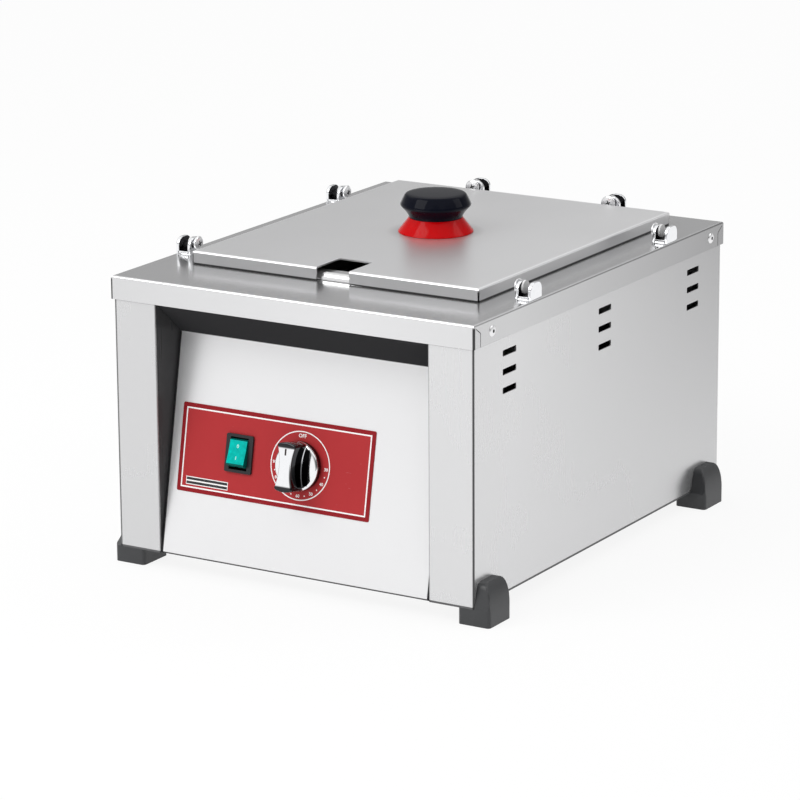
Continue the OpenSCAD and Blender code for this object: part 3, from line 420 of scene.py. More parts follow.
@dataclass(frozen=True)
class PrintedFilm(Finish):
    """The red film of the control plate: a darker margin, a sheen and a few scratches."""

    margin_colour: Colour = (0.3, 0.01, 0.02)
    middle: Point = (0.0, 0.0, 0.0)
    up: Point = (0.0, 0.0, 1.0)
    half: Flat = (0.09, 0.04)
    margin: float = 0.0036
    soft: float = 0.0002
    drift: float = 0.07
    scratch_colour: Colour = (0.75, 0.6, 0.6)
    scratch_share: float = 0.15

    def dress(self, maker: NodeMaker, shader: Node) -> None:
        """Colour by the place on the plate.

        Args:
            maker: The shader's tree.
            shader: The shader.
        """
        place = maker.place()
        across = maker.along(place, ACROSS) - self.middle[0]
        rise = maker.along(place, self.up) - sum(a * b for a, b in zip(self.middle, self.up))
        side = across.size().above(self.half[0] - self.margin, self.soft)
        outside = side.apply("MAXIMUM", rise.size().above(self.half[1] - self.margin, self.soft))
        cloud = maker.noise(place, 14.0)
        low = tuple(part * (1 - self.drift) for part in self.colour)
        high = tuple(part * (1 + self.drift) for part in self.colour)
        colour = maker.blend(outside, maker.blend(cloud, low, high), self.margin_colour)
        scratch = maker.noise(place, 700.0, (0.12, 1.0, 1.0), 4.0).above(0.735, 0.015)
        colour = maker.blend(scratch * self.scratch_share, colour, self.scratch_colour)
        skin = maker.noise(place, 3000.0)
        self.link(maker, shader, Base_Color=colour, Roughness=self.roughness + (cloud - 0.5) * 0.1,
                  Specular_IOR_Level=0.12, Normal=self.bump(maker, skin, 0.00001, 0.2))


def linked(name: str, data: bpy.types.ID) -> bpy.types.Object:
    """Put an object into the scene.

    Args:
        name: Its name.
        data: Its mesh, curve, lamp or camera.

    Returns:
        The object.
    """
    made = bpy.data.objects.new(name, data)
    bpy.context.scene.collection.objects.link(made)
    return made


def evaluated(holder: bpy.types.Object) -> Mesh:
    """Turn an object with its modifiers into a plain mesh.

    Args:
        holder: The object, which is removed.

    Returns:
        The mesh.
    """
    graph = bpy.context.evaluated_depsgraph_get()
    mesh = bpy.data.meshes.new_from_object(holder.evaluated_get(graph))
    bpy.data.objects.remove(holder)
    return mesh


def rectangle(left: float, low: float, right: float, high: float) -> list[Flat]:
    """Corners of a rectangle, anticlockwise from its lower left."""
    return [(left, low), (right, low), (right, high), (left, high)]


def quarter(steps: int) -> list[float]:
    """Angles from 0 to a right angle, in equal steps."""
    return [math.pi / 2 * step / steps for step in range(steps + 1)]


class Cabinetmaker:
    """Mesh helpers that several pieces share."""

    @staticmethod
    def piece(name: str, mesh: Mesh, *finishes: Material) -> bpy.types.Object:
        """Link a mesh into the scene as a named piece.

        Args:
            name: The piece's name.
            mesh: Its mesh, already in place.
            *finishes: Its finishes, in the order of its faces' indices.

        Returns:
            The object, at the origin.
        """
        mesh.name = name
        faces = [face.material_index for face in mesh.polygons]
        mesh.materials.clear()
        for finish in finishes:
            mesh.materials.append(finish)
        mesh.polygons.foreach_set("material_index", [min(index, len(finishes) - 1) for index in faces])
        return linked(name, mesh)

    @staticmethod
    def mesh_of(build: Callable[[Work], None], place: Matrix | None = None) -> Mesh:
        """Build a mesh, move it and point its faces outwards.

        Args:
            build: Fills the bmesh.
            place: Where the mesh goes.

        Returns:
            The mesh.
        """
        work = bmesh.new()
        build(work)
        bmesh.ops.remove_doubles(work, verts=work.verts, dist=WELD)
        bmesh.ops.recalc_face_normals(work, faces=work.faces)
        if place is not None:
            work.transform(place)
        mesh = bpy.data.meshes.new("work")
        work.to_mesh(mesh)
        work.free()
        return mesh

    @staticmethod
    def lathe(work: Work, profile: Sequence[Flat], steps: int) -> None:
        """Turn a profile of (radius, height) points about Z into a closed shell.

        Args:
            work: The mesh.
            profile: Its points, from the bottom to the top.
            steps: Steps round the axis.
        """
        rings = []
        for radius, height in profile:
            if radius < WELD:
                rings.append([work.verts.new((0.0, 0.0, height))])
                continue
            turns = (2 * math.pi * step / steps for step in range(steps))
            points = [(radius * math.cos(a), radius * math.sin(a), height) for a in turns]
            rings.append([work.verts.new(point) for point in points])
        for low, high in zip(rings, rings[1:]):
            for step in range(steps):
                after = (step + 1) % steps
                corners = [low[step % len(low)], low[after % len(low)],
                           high[after % len(high)], high[step % len(high)]]
                distinct = list(dict.fromkeys(corners))
                if len(distinct) > 2:
                    work.faces.new(distinct)

    @staticmethod
    def prism(work: Work, outline: Sequence[Flat], low: float, high: float) -> None:
        """Raise an outline between two heights as a closed shell.

        Args:
            work: The mesh.
            outline: The outline's corners.
            low: The lower height.
            high: The upper height.
        """
        floor = [work.verts.new((x, y, low)) for x, y in outline]
        roof = [work.verts.new((x, y, high)) for x, y in outline]
        work.faces.new(list(reversed(floor)))
        work.faces.new(roof)
        for step in range(len(outline)):
            after = (step + 1) % len(outline)
            work.faces.new([floor[step], floor[after], roof[after], roof[step]])

    @staticmethod
    def turned(profile: Sequence[Flat], steps: int, place: Matrix | None = None) -> Mesh:
        """A profile turned about Z, as a mesh in its place."""
        return Cabinetmaker.mesh_of(lambda work: Cabinetmaker.lathe(work, profile, steps), place)

    @staticmethod
    def raised(outline: Sequence[Flat], low: float, high: float, place: Matrix) -> Mesh:
        """An outline raised between two heights, as a mesh in its place."""
        return Cabinetmaker.mesh_of(lambda work: Cabinetmaker.prism(work, outline, low, high), place)

    @staticmethod
    def mark_facing(mesh: Mesh, direction: Vector) -> None:
        """Give the second finish to the faces that look along a direction."""
        for face in mesh.polygons:
            face.material_index = int(face.normal.dot(direction) > 0.9)

    @staticmethod
    def coat(name: str, material: Material) -> None:
        """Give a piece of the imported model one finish.

        Args:
            name: The piece.
            material: Its finish.
        """
        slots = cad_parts[name].data.materials
        slots.clear()
        slots.append(material)

    @staticmethod
    def soften(mesh: Mesh, width: float, segments: int = 3, angle: float = 35.0) -> Mesh:
        """Round the sharp edges of a mesh.

        Args:
            mesh: The mesh, which is used up.
            width: Width of the rounding.
            segments: Steps across it.
            angle: Edges that bend by more degrees than this are rounded.

        Returns:
            The rounded mesh, shaded smooth.
        """
        holder = linked("holder", mesh)
        bevel = holder.modifiers.new("rounding", "BEVEL")
        bevel.width = width
        bevel.segments = segments
        bevel.limit_method = "ANGLE"
        bevel.angle_limit = math.radians(angle)
        done = evaluated(holder)
        Cabinetmaker.smooth(done, angle)
        return done

    @staticmethod
    def smooth(mesh: Mesh, angle: float = 35.0) -> None:
        """Shade a mesh smooth, except across edges that bend by more than the angle.

        Args:
            mesh: The mesh.
            angle: The angle in degrees.
        """
        work = bmesh.new()
        work.from_mesh(mesh)
        for face in work.faces:
            face.smooth = True
        for edge in work.edges:
            edge.smooth = len(edge.link_faces) == 2 and edge.calc_face_angle(0.0) < math.radians(angle)
        work.to_mesh(mesh)
        work.free()

    @staticmethod
    def words(text: str, height: float, place: Matrix, thickness: float) -> Mesh:
        """Letters as a thin mesh.

        Args:
            text: What is written.
            height: Height of the letters.
            place: The plane they lie on.
            thickness: How far they stand up.

        Returns:
            The mesh, in place.
        """
        curve = bpy.data.curves.new("letters", "FONT")
        curve.body = text
        curve.size = height
        curve.align_x = "CENTER"
        curve.align_y = "CENTER"
        curve.extrude = thickness / 2
        curve.offset = height * 0.02
        curve.resolution_u = 3
        mesh = evaluated(linked("letters", curve))
        mesh.transform(place)
        return mesh

    @staticmethod
    def joined(meshes: Iterable[Mesh]) -> Mesh:
        """Put several meshes into one.

        Args:
            meshes: The meshes.

        Returns:
            The one mesh, with the faces' finishes kept.
        """
        work = bmesh.new()
        for mesh in meshes:
            work.from_mesh(mesh)
        done = bpy.data.meshes.new("work")
        work.to_mesh(done)
        work.free()
        return done


@dataclass
class Layout:
    """Where the parts of the cabinet lie, worked out from the frame."""

    cover_half: Flat = (0.175, 0.219)
    body_inset: float = 0.0015
    foot_drop: float = 0.014
    recess_depth: float = 0.0353
    recess_height: float = 0.186
    middle: Vector = field(init=False)
    lid_middle: Vector = field(init=False)

    def __post_init__(self) -> None:
        """Read the cover's and the lid's places."""
        low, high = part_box("top_cover")
        self.middle = (low + high) / 2
        self.top = high.z
        low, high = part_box("lid")
        self.lid_middle = (low + high) / 2
        self.lid_top = high.z
        self.front = self.middle.y - self.cover_half[1] + self.body_inset
        self.side = self.cover_half[0] - self.body_inset
        self.lean = math.atan2(self.recess_depth, self.recess_height)
        self.up = Vector((0.0, math.sin(self.lean), math.cos(self.lean)))
        self.normal = Vector((0.0, -math.cos(self.lean), math.sin(self.lean)))

    def panel(self, across: float, up: float, out: float) -> Matrix:
        """A place on the leaning panel.

        Args:
            across: From the middle of the cabinet, to the right.
            up: Up the slope from the panel's bottom.
            out: Out along the panel's normal.

        Returns:
            A matrix with X across, Y up the slope and Z outwards.
        """
        base = Vector((self.middle.x + across, self.front, self.foot_drop))
        place = Matrix.Identity(4)
        for column, axis in enumerate((Vector((1, 0, 0)), self.up, self.normal)):
            for row in range(3):
                place[row][column] = axis[row]
        place.translation = base + self.up * up + self.normal * out
        return place


@dataclass
class Cabinet:
    """Folded sheets, tank, pan and inner pieces, which keep their CAD shapes."""

    layout: Layout
    flange_width: float = 0.0414
    gap: float = 0.0009
    sheet: float = 0.0012
    soffit_low: float = 0.2002
    skirt_drop: float = 0.0202
    fold_line: float = 0.0018
    rim_line: float = 0.0016
    corner_line: float = 0.0010
    corner_reach: float = 0.0020
    left_line: float = 0.0024
    edge_line: float = 0.0007
    skirt_line: float = 0.0009
    seam_line: float = 0.0013
    seam_reach: float = 0.0022
    lid_line: float = 0.0011
    lid_skirt: float = 0.0010
    knob_reach: float = 0.0370
    hair: float = 0.0001
    fine: float = 0.0002
    soft: float = 0.0004
    fold_share: float = 0.92
    seam_share: float = 0.95
    # Colour of the painted shade lines on the cover and the lid.
    black: Colour = (0.006, 0.006, 0.006)

    def rearwards(self, depth: Term) -> Term:
        """Rise from 0 near the front towards 1 at the rear."""
        return depth.above(0.28, 0.22)

    def bottom_line(self, height: Term) -> Term:
        """Painted shade along the bottom fold of a sheet."""
        return height.below(self.layout.foot_drop + self.fold_line, self.fine)

    def places(self, maker: NodeMaker, place: Socket) -> tuple[Term, Term, Term]:
        """Distance from the cabinet's middle plane, from its front, and the height.

        Args:
            maker: The shader's tree.
            place: The shaded place.

        Returns:
            The two distances and the height.
        """
        across = maker.along(place, ACROSS) - self.layout.middle.x
        depth = maker.along(place, INWARDS) - self.layout.front
        return across, depth, maker.along(place, UPWARDS)

    def recess_shade(self, maker: NodeMaker, place: Socket) -> Term:
        """Painted shade on the soffit above the leaning face, and painted shade lines at the panel's side
        edges and along its bottom fold.

        Args:
            maker: The shader's tree.
            place: The shaded place.

        Returns:
            The share of the dark colour.
        """
        across, _, height = self.places(maker, place)
        under_skirt = height.below(self.layout.top - self.skirt_drop, self.fine)
        soffit = height.above(self.soffit_low, self.soft) * under_skirt
        edge = self.layout.side - self.flange_width - self.gap - self.rim_line
        rim = across.size().above(edge, self.fine) * height.below(self.soffit_low, self.soft)
        return (soffit + self.bottom_line(height) * self.fold_share + rim).capped()

    def cheek_shade(self, maker: NodeMaker, place: Socket) -> Term:
        """Painted shade on the cheeks, and painted shade lines at the front corners, the left flange's
        outer edge, the flanges' inner edges, the bottom fold and under the cover's skirt.

        Args:
            maker: The shader's tree.
            place: The shaded place.

        Returns:
            The share of the dark colour.
        """
        across, depth, height = self.places(maker, place)
        flange = depth.below(self.sheet, self.fine)
        outline = across.below(self.left_line - self.layout.side, self.fine) * flange
        across = across.size()
        inner = self.layout.side - self.flange_width
        cheek = across.below(inner + self.sheet + self.fine, self.hair)
        cheek = cheek * depth.above(self.sheet + self.hair, self.hair)
        corner = across.above(self.layout.side - self.corner_line, self.fine)
        corner = corner * depth.below(self.corner_reach, self.fine)
        edge = across.below(inner + self.edge_line, self.fine) * flange
        under_skirt = height.above(self.layout.top - self.skirt_drop - 0.0004, 0.0003)
        lines = corner * self.seam_share + outline * 0.8 + edge * 0.45
        lines = lines + self.bottom_line(height) * 0.9 + under_skirt * 0.6
        return (cheek + lines).capped()

    def side_wash(self, maker: NodeMaker, place: Socket) -> Term:
        """Painted shade: slow darkening towards the rear top corner, and a slightly greyer left flange.

        Args:
            maker: The shader's tree.
            place: The shaded place.

        Returns:
            The brightness.
        """
        across, depth, height = self.places(maker, place)
        left = across.below(0.0, 0.01) * depth.below(self.sheet, self.fine) * 0.08
        return 1.0 - left - self.rearwards(depth) * (0.18 + height.above(0.16, 0.12) * 0.38)

    def cover_wash(self, maker: NodeMaker, place: Socket) -> Term:
        """Painted light and shade: the cover's side skirts darken to the back, its front skirt is brighter
        in the middle, and its top is a little brighter.

        Args:
            maker: The shader's tree.
            place: The shaded place.

        Returns:
            The brightness.
        """
        across, depth, height = self.places(maker, place)
        skirt = across.size().above(self.layout.cover_half[0] - self.skirt_line, self.fine)
        front = depth.below(-self.layout.body_inset + self.skirt_line, self.fine)
        middle = 1.0 - (across - 0.05).size().above(0.12, 0.13)
        top = height.above(self.layout.top - 0.0006, self.fine)
        side = 1.0 - skirt * (0.02 + self.rearwards(depth) * 0.52)
        return side * (1.0 + front * (0.10 + middle * 0.16)) * (1.0 + top * 0.12)

    def cover_shade(self, maker: NodeMaker, place: Socket) -> Term:
        """Painted shade lines at the cover's front corners, along its seams.

        Args:
            maker: The shader's tree.
            place: The shaded place.

        Returns:
            The share of the dark colour.
        """
        across, depth, height = self.places(maker, place)
        skirt = height.below(self.layout.top - self.seam_reach, 0.0006)
        corner = across.size().above(self.layout.cover_half[0] - self.seam_line, self.fine)
        front = depth.below(-self.layout.body_inset + self.seam_reach, self.fine)
        return corner * front * skirt * self.seam_share

    def lid_places(self, maker: NodeMaker, place: Socket) -> tuple[Term, Term, Term, Vector]:
        """Distances from the lid's middle, the height over its lower edge, and its half sizes.

        Args:
            maker: The shader's tree.
            place: The shaded place.

        Returns:
            Both distances, the height and the half sizes.
        """
        low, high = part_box("lid")
        middle = self.layout.lid_middle
        across = maker.along(place, ACROSS) - middle.x
        depth = maker.along(place, INWARDS) - middle.y
        return across, depth, maker.along(place, UPWARDS) - low.z, (high - low) / 2

    def lid_wash(self, maker: NodeMaker, place: Socket) -> Term:
        """Painted light and shade: the lid is brighter to the right, its skirts are darker than its top,
        and a painted shadow rings the knob.

        Args:
            maker: The shader's tree.
            place: The shaded place.

        Returns:
            The brightness.
        """
        across, depth, height, half = self.lid_places(maker, place)
        side = height.below(2 * half.z - 0.0016, 0.0003)
        front = depth.below(-half.y + self.lid_skirt, self.fine) * side
        right = across.size().above(half.x - self.lid_skirt, self.fine) * side
        radius = (across * across + depth * depth).apply("SQRT")
        # Painted shadow round the knob's foot.
        knob_shadow = radius.below(self.knob_reach, 0.0060) * 0.24
        front_light = 1.0 - front * (0.5 + across.above(0.05, 0.1) * 0.06)
        to_right = 0.96 + across.above(0.04, 0.14) * 0.16
        return (1.0 - knob_shadow) * to_right * front_light * (1.0 - right * 0.26)

    def lid_shade(self, maker: NodeMaker, place: Socket) -> Term:
        """Painted shade lines along the lid's lower edge and at its corners.

        Args:
            maker: The shader's tree.
            place: The shaded place.

        Returns:
            The share of the dark colour.
        """
        across, depth, height, half = self.lid_places(maker, place)
        edges = ((across, half.x), (depth, half.y))
        near_x, near_y = (way.size().above(reach - self.lid_line, self.fine) for way, reach in edges)
        side = height.below(2 * half.z - 0.0030, self.soft)
        low_edge = height.below(self.lid_line, self.fine) * self.fold_share
        return (low_edge + near_x * near_y * side * self.seam_share).capped()

    def dress(self) -> None:
        """Give every sheet and inner piece its finish."""
        finishes = {
            # The sheets' brightness hooks and shade hooks paint light and shade into their colours;
            # shade_colour is the colour of the painted shade.
            BrushedSheet("cover_steel", tone(208, 208, 209), 0.20, metal=0.92, wash=self.cover_wash,
                         shade=self.cover_shade, shade_colour=self.black): ["top_cover"],
            BrushedSheet("front_steel", tone(240, 240, 241), 0.30, metal=0.5, grain_depth=0.0,
                         contrast=0.012, gleam=0.0, shade=self.recess_shade,
                         shade_colour=(0.037, 0.037, 0.039)): ["front_panel"],
            BrushedSheet("side_steel", tone(222, 222, 223), 0.27, metal=0.78, grain_scale=420.0,
                         grain_depth=0.0, contrast=0.004, shade=self.cheek_shade,
                         shade_colour=(0.06, 0.06, 0.062), wash=self.side_wash): [
                "left_side_panel", "right_side_panel"],
            BrushedSheet("back_steel", tone(218, 218, 219), 0.3, grain_depth=0.0): [
                "back_panel", "bottom_plate"],
            BrushedSheet("lid_steel", tone(240, 240, 241), 0.33, grain=Axis.DEPTH, metal=0.88,
                         wash=self.lid_wash, shade=self.lid_shade, shade_colour=self.black): ["lid"],
            BrushedSheet("pan_steel", tone(236, 236, 236), 0.16, metal=0.95): ["food_pan"],
            BrushedSheet("tank_steel", tone(190, 190, 192), 0.35): ["water_tank"],
            BrushedSheet("element_steel", tone(120, 112, 106), 0.42, grain=Axis.ACROSS): [
                "heating_element"],
            Polished("zinc_plate", tone(196, 197, 200), 0.3): [
                "thermostat_shaft", "thermostat_screws", "probe_clip", "element_straps", "element_nuts",
                "clamp_fixing_screws", "foot_screws", "base_screws", "back_screws", "lid_knob_screw"],
            Polished("yellow_brass", tone(212, 180, 110), 0.28): [
                "switch_terminals", "terminal_screws", "earth_stud"],
            Polished("drawn_copper", tone(200, 140, 110), 0.25): ["thermostat_probe"],
            Moulded("pale_nylon", tone(226, 224, 214), 0.45): ["thermostat_body", "terminal_block"],
            Moulded("black_nylon", tone(34, 35, 38), 0.38, gleam=0.4): [
                "cable_gland", "gland_nut", "switch_housing"],
            Moulded("brown_sleeve", tone(120, 84, 60), 0.5): ["wiring"],
            Moulded("clear_pad", tone(228, 228, 228), 0.35): [
                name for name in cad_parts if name.startswith("clamp_pad_")],
        }
        for finish, nodes in finishes.items():
            material = finish.build()
            for name in nodes:
                Cabinetmaker.coat(name, material)
            LOG.info("%s on %d pieces", finish.name, len(nodes))


@dataclass
class ControlPlate:
    """The red plate with its printed border, bars and dial."""

    layout: Layout
    across: float = -0.02625
    up: float = 0.0933
    width: float = 0.1895
    height: float = 0.075
    thickness: float = 0.0005
    line_inset: float = 0.0036
    line_width: float = 0.0012
    ink: float = 0.00004
    dial_across: float = -0.0015
    dial_up: float = 0.0928
    dial_radius: float = 0.0285
    dial_line: float = 0.0009
    number_radius: float = 0.0252
    number_height: float = 0.0037
    word_height: float = 0.0044
    word_drop: float = 0.0004
    first_angle: float = 90.0
    step_angle: float = 30.0
    dot_radius: float = 0.0006
    block_ends: Flat = (-0.1123, -0.0705)
    block_up: float = 0.0656
    block_half: float = 0.0034
    bar_inset: float = 0.0005
    bar_height: float = 0.0021
    bar_lows: Flat = (0.0006, -0.0027)

    def finish(self) -> None:
        """Dress the plate itself."""
        middle = self.layout.panel(self.across, self.up, 0.0).translation
        film = PrintedFilm("red_film", tone(178, 52, 55), 0.30, margin_colour=tone(146, 30, 37),
                           middle=tuple(middle), up=tuple(self.layout.up),
                           half=(self.width / 2, self.height / 2), margin=self.line_inset)
        Cabinetmaker.coat("control_plate", film.build())

    def frame_line(self, work: Work) -> None:
        """Fill the mesh of the rectangular line, standing on Z = 0.

        Args:
            work: The mesh.
        """
        width, height = self.width - 2 * self.line_inset, self.height - 2 * self.line_inset
        points = []
        for level in (0.0, self.ink):
            for inset in (0.0, self.line_width):
                x, y = width / 2 - inset, height / 2 - inset
                points += [work.verts.new((*corner, level)) for corner in rectangle(-x, -y, x, y)]
        low_out, low_in, high_out, high_in = 0, 4, 8, 12
        for side in range(4):
            after = (side + 1) % 4
            for a, b in ((high_out, high_in), (low_in, low_out), (low_out, high_out), (high_in, low_in)):
                work.faces.new([points[a + side], points[a + after], points[b + after], points[b + side]])

    def border(self, white: Material) -> None:
        """The thin white line inside the margin."""
        place = self.layout.panel(self.across, self.up, self.thickness)
        self.ride(Cabinetmaker.piece("plate_border", Cabinetmaker.mesh_of(self.frame_line, place), white))

    def twin_bars(self, white: Material, black: Material) -> None:
        """The plain block of a white field with two black bars at the lower left.

        Args:
            white: The field's ink.
            black: The bars' ink.
        """
        left, right = self.block_ends
        place = self.layout.panel((left + right) / 2, self.block_up, self.thickness)
        half, tall = (right - left) / 2, self.block_half
        block = Cabinetmaker.raised(rectangle(-half, -tall, half, tall), 0.0, self.ink, place)
        self.ride(Cabinetmaker.piece("bar_field", block, white))
        reach = half - self.bar_inset
        outlines = [rectangle(-reach, low, reach, low + self.bar_height) for low in self.bar_lows]
        bars = [Cabinetmaker.raised(outline, self.ink, 2 * self.ink, place) for outline in outlines]
        self.ride(Cabinetmaker.piece("black_bars", Cabinetmaker.joined(bars), black))

    def dial_place(self, angle: float, radius: float) -> Matrix:
        """Where a mark of the dial stands.

        Args:
            angle: Degrees clockwise from the top.
            radius: Distance from the dial's middle.

        Returns:
            The plane of the mark.
        """
        turn = math.radians(angle)
        return self.layout.panel(self.dial_across + radius * math.sin(turn),
                                 self.dial_up + radius * math.cos(turn), self.thickness + self.ink / 2)

    def dial(self, white: Material) -> None:
        """The ring, the numbers and the word OFF.

        Args:
            white: The ink.
        """
        inner, outer = self.dial_radius - self.dial_line / 2, self.dial_radius + self.dial_line / 2
        profile = [(inner, 0.0), (outer, 0.0), (outer, self.ink), (inner, self.ink), (inner, 0.0)]
        place = self.layout.panel(self.dial_across, self.dial_up, self.thickness)
        self.ride(Cabinetmaker.piece("dial_ring", Cabinetmaker.turned(profile, 120, place), white))
        spot = self.dial_place(0.0, self.number_radius - self.word_drop)
        marks = [Cabinetmaker.words("OFF", self.word_height, spot, self.ink)]
        for step, number in enumerate(range(30, 100, 10)):
            spot = self.dial_place(self.first_angle + self.step_angle * step, self.number_radius)
            marks.append(Cabinetmaker.words(str(number), self.number_height, spot, self.ink))
        self.ride(Cabinetmaker.piece("dial_marks", Cabinetmaker.joined(marks), white))

    def dots(self, white: Material) -> None:
        """The dots halfway between the numbers, set round the dial by a node tree.

        Args:
            white: The ink.
        """
        tree, maker, given = Repeats.start("dial_dots", {
            "Radius": "Float", "Dot radius": "Float", "First angle": "Float", "Step angle": "Float",
            "Count": "Int"})
        index, step, first, radius = (Term(maker, socket) for socket in (
            maker.add("GeometryNodeInputIndex", {}).outputs[0], given.outputs["Step angle"],
            given.outputs["First angle"], given.outputs["Radius"]))
        angle = index * step + first
        spot = maker.add("ShaderNodeCombineXYZ", {}, [
            radius * angle.apply("SINE"), radius * angle.apply("COSINE"), 0.0])
        points = maker.add("GeometryNodePoints", {}, {
            "Count": given.outputs["Count"], "Position": spot.outputs[0]})
        dot = maker.add("GeometryNodeMeshCylinder", {}, {
            "Vertices": 14, "Radius": given.outputs["Dot radius"], "Depth": self.ink})
        Repeats.end(maker, points.outputs[0], dot.outputs[0], white)
        first_angle = math.radians(self.first_angle + self.step_angle / 2)
        mesh = Repeats.run(tree, {
            "Radius": self.number_radius, "Dot radius": self.dot_radius, "First angle": first_angle,
            "Step angle": math.radians(self.step_angle), "Count": 6})
        mesh.transform(self.layout.panel(self.dial_across, self.dial_up, self.thickness + self.ink / 2))
        self.ride(Cabinetmaker.piece("dial_dots", mesh, white))

    def ride(self, piece: bpy.types.Object) -> None:
        """Fix a printed piece to the cabinet."""
        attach(piece, "cabinet")

    def make(self) -> None:
        """Make the plate's finish and its print."""
        self.finish()
        white = Moulded("white_ink", tone(252, 250, 250), 0.4, drift=0.02).build()
        black = Moulded("black_ink", tone(30, 30, 33), 0.4, drift=0.05).build()
        self.border(white)
        self.twin_bars(white, black)
        self.dial(white)
        self.dots(white)
        LOG.info("control plate with its print")


class Repeats:
    """Makes and runs the node trees that repeat a shape."""

    @staticmethod
    def start(name: str, inputs: dict[str, str]) -> tuple[Tree, NodeMaker, Node]:
        """Begin a tree with named inputs.

        Args:
            name: The tree's name.
            inputs: The type of each input, by its name.

        Returns:
            The tree, its maker and its input node.
        """
        tree = bpy.data.node_groups.new(name, "GeometryNodeTree")
        for label, kind in inputs.items():
            tree.interface.new_socket(label, in_out="INPUT", socket_type="NodeSocket" + kind)
        tree.interface.new_socket("Geometry", in_out="OUTPUT", socket_type="NodeSocketGeometry")
        maker = NodeMaker(tree)
        return tree, maker, maker.add("NodeGroupInput", {})

    @staticmethod
    def end(maker: NodeMaker, points: Socket, shape: Socket, material: Material) -> None:
        """Set a shape on points, make it real and give it its finish.

        Args:
            maker: The tree.
            points: Where the shape stands.
            shape: The shape.
            material: Its finish.
        """
        spread = maker.add("GeometryNodeInstanceOnPoints", {}, {"Points": points, "Instance": shape})
        real = maker.add("GeometryNodeRealizeInstances", {}, [spread.outputs[0]])
        done = maker.add("GeometryNodeSetMaterial", {}, {"Geometry": real.outputs[0], "Material": material})
        maker.add("NodeGroupOutput", {}, [done.outputs[0]])

    @staticmethod
    def run(tree: Tree, sizes: dict[str, object]) -> Mesh:
        """Evaluate a tree.

        Args:
            tree: The geometry tree.
            sizes: Values of its named inputs.

        Returns:
            The plain mesh that it makes.
        """
        holder = linked("holder", bpy.data.meshes.new("empty"))
        modifier = holder.modifiers.new("repeat", "NODES")
        modifier.node_group = tree
        for item in tree.interface.items_tree:
            if item.in_out == "INPUT" and item.name in sizes:
                modifier[item.identifier] = sizes[item.name]
        return evaluated(holder)


@dataclass
class RockerSwitch:
    """The green rocker with its two marks."""

    layout: Layout
    across: float = -0.06125
    up: float = 0.09465
    pivot_out: float = -0.0013
    width: float = 0.0173
    half: float = 0.0118
    edge: float = 0.0072
    dip: float = 0.0005
    crest: float = 0.0100
    heel: float = 0.003
    tilt: float = 11.0
    chamfer: float = 0.0012
    bulge: float = 0.0002
    rounding: float = 0.0004
    letter_height: float = 0.0042
    letter_lift: float = 0.00002

    def outline(self) -> list[Flat]:
        """Side view of the rocker: two flats and two slanted ends.

        Returns:
            The outline, along the slope and out of the panel.
        """
        left = [(self.heel - self.half, -self.heel), (-self.half - self.bulge, self.heel),
                (-self.crest - self.chamfer, self.edge - self.chamfer), (-self.crest, self.edge)]
        return [*left, (0.0, self.edge - self.dip), *[(-x, y) for x, y in reversed(left)]]

    def make(self) -> None:
        """Make the rocker and its marks."""
        place = self.layout.panel(self.across, self.up, self.pivot_out) @ Matrix.Rotation(
            -math.radians(self.tilt), 4, "X")
        half = self.width / 2
        shell = Cabinetmaker.raised(self.outline(), -half, half, place @ UPRIGHT)
        out = (place.to_3x3() @ Vector((0.0, 0.0, 1.0))).normalized()
        # Faces that do not look out get the darker copy of the lens: painted shade on the rocker's sides
        # and ends.
        for face in shell.polygons:
            face.material_index = int(face.normal.dot(out) < 0.95)
        mesh = Cabinetmaker.soften(shell, self.rounding, 3, 30.0)
        lens = {"roughness": 0.3, "gleam": 0.06, "drift_scale": 300.0, "skin_depth": 0.00001}
        green = Moulded("green_lens", tone(0, 176, 166), drift=0.35, glow=0.12, **lens).build()
        # Darker copy of the lens, for its painted shade.
        lens_shade = Moulded("green_lens_shaded", tone(0, 96, 88), drift=0.3, **lens).build()
        rocker = Cabinetmaker.piece("rocker", mesh, green, lens_shade)
        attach(rocker, "rocker")
        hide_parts("switch_rocker")
        white = Moulded("rocker_ink", tone(200, 240, 232), 0.4, drift=0.02).build()
        marks = []
        for text, share in (("0", 0.5), ("I", -0.5)):
            rise = share * self.crest
            slope = math.copysign(self.dip / self.crest, share)
            height = self.edge - self.dip * (1 - abs(share))
            spot = place @ Matrix.Translation((0.0, rise, height + self.letter_lift))
            spot = spot @ Matrix.Rotation(math.atan(slope), 4, "X")
            marks.append(Cabinetmaker.words(text, self.letter_height, spot, 0.00005))
        ink = Cabinetmaker.piece("rocker_marks", Cabinetmaker.joined(marks), white)
        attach(ink, "rocker")
        LOG.info("rocker switch")


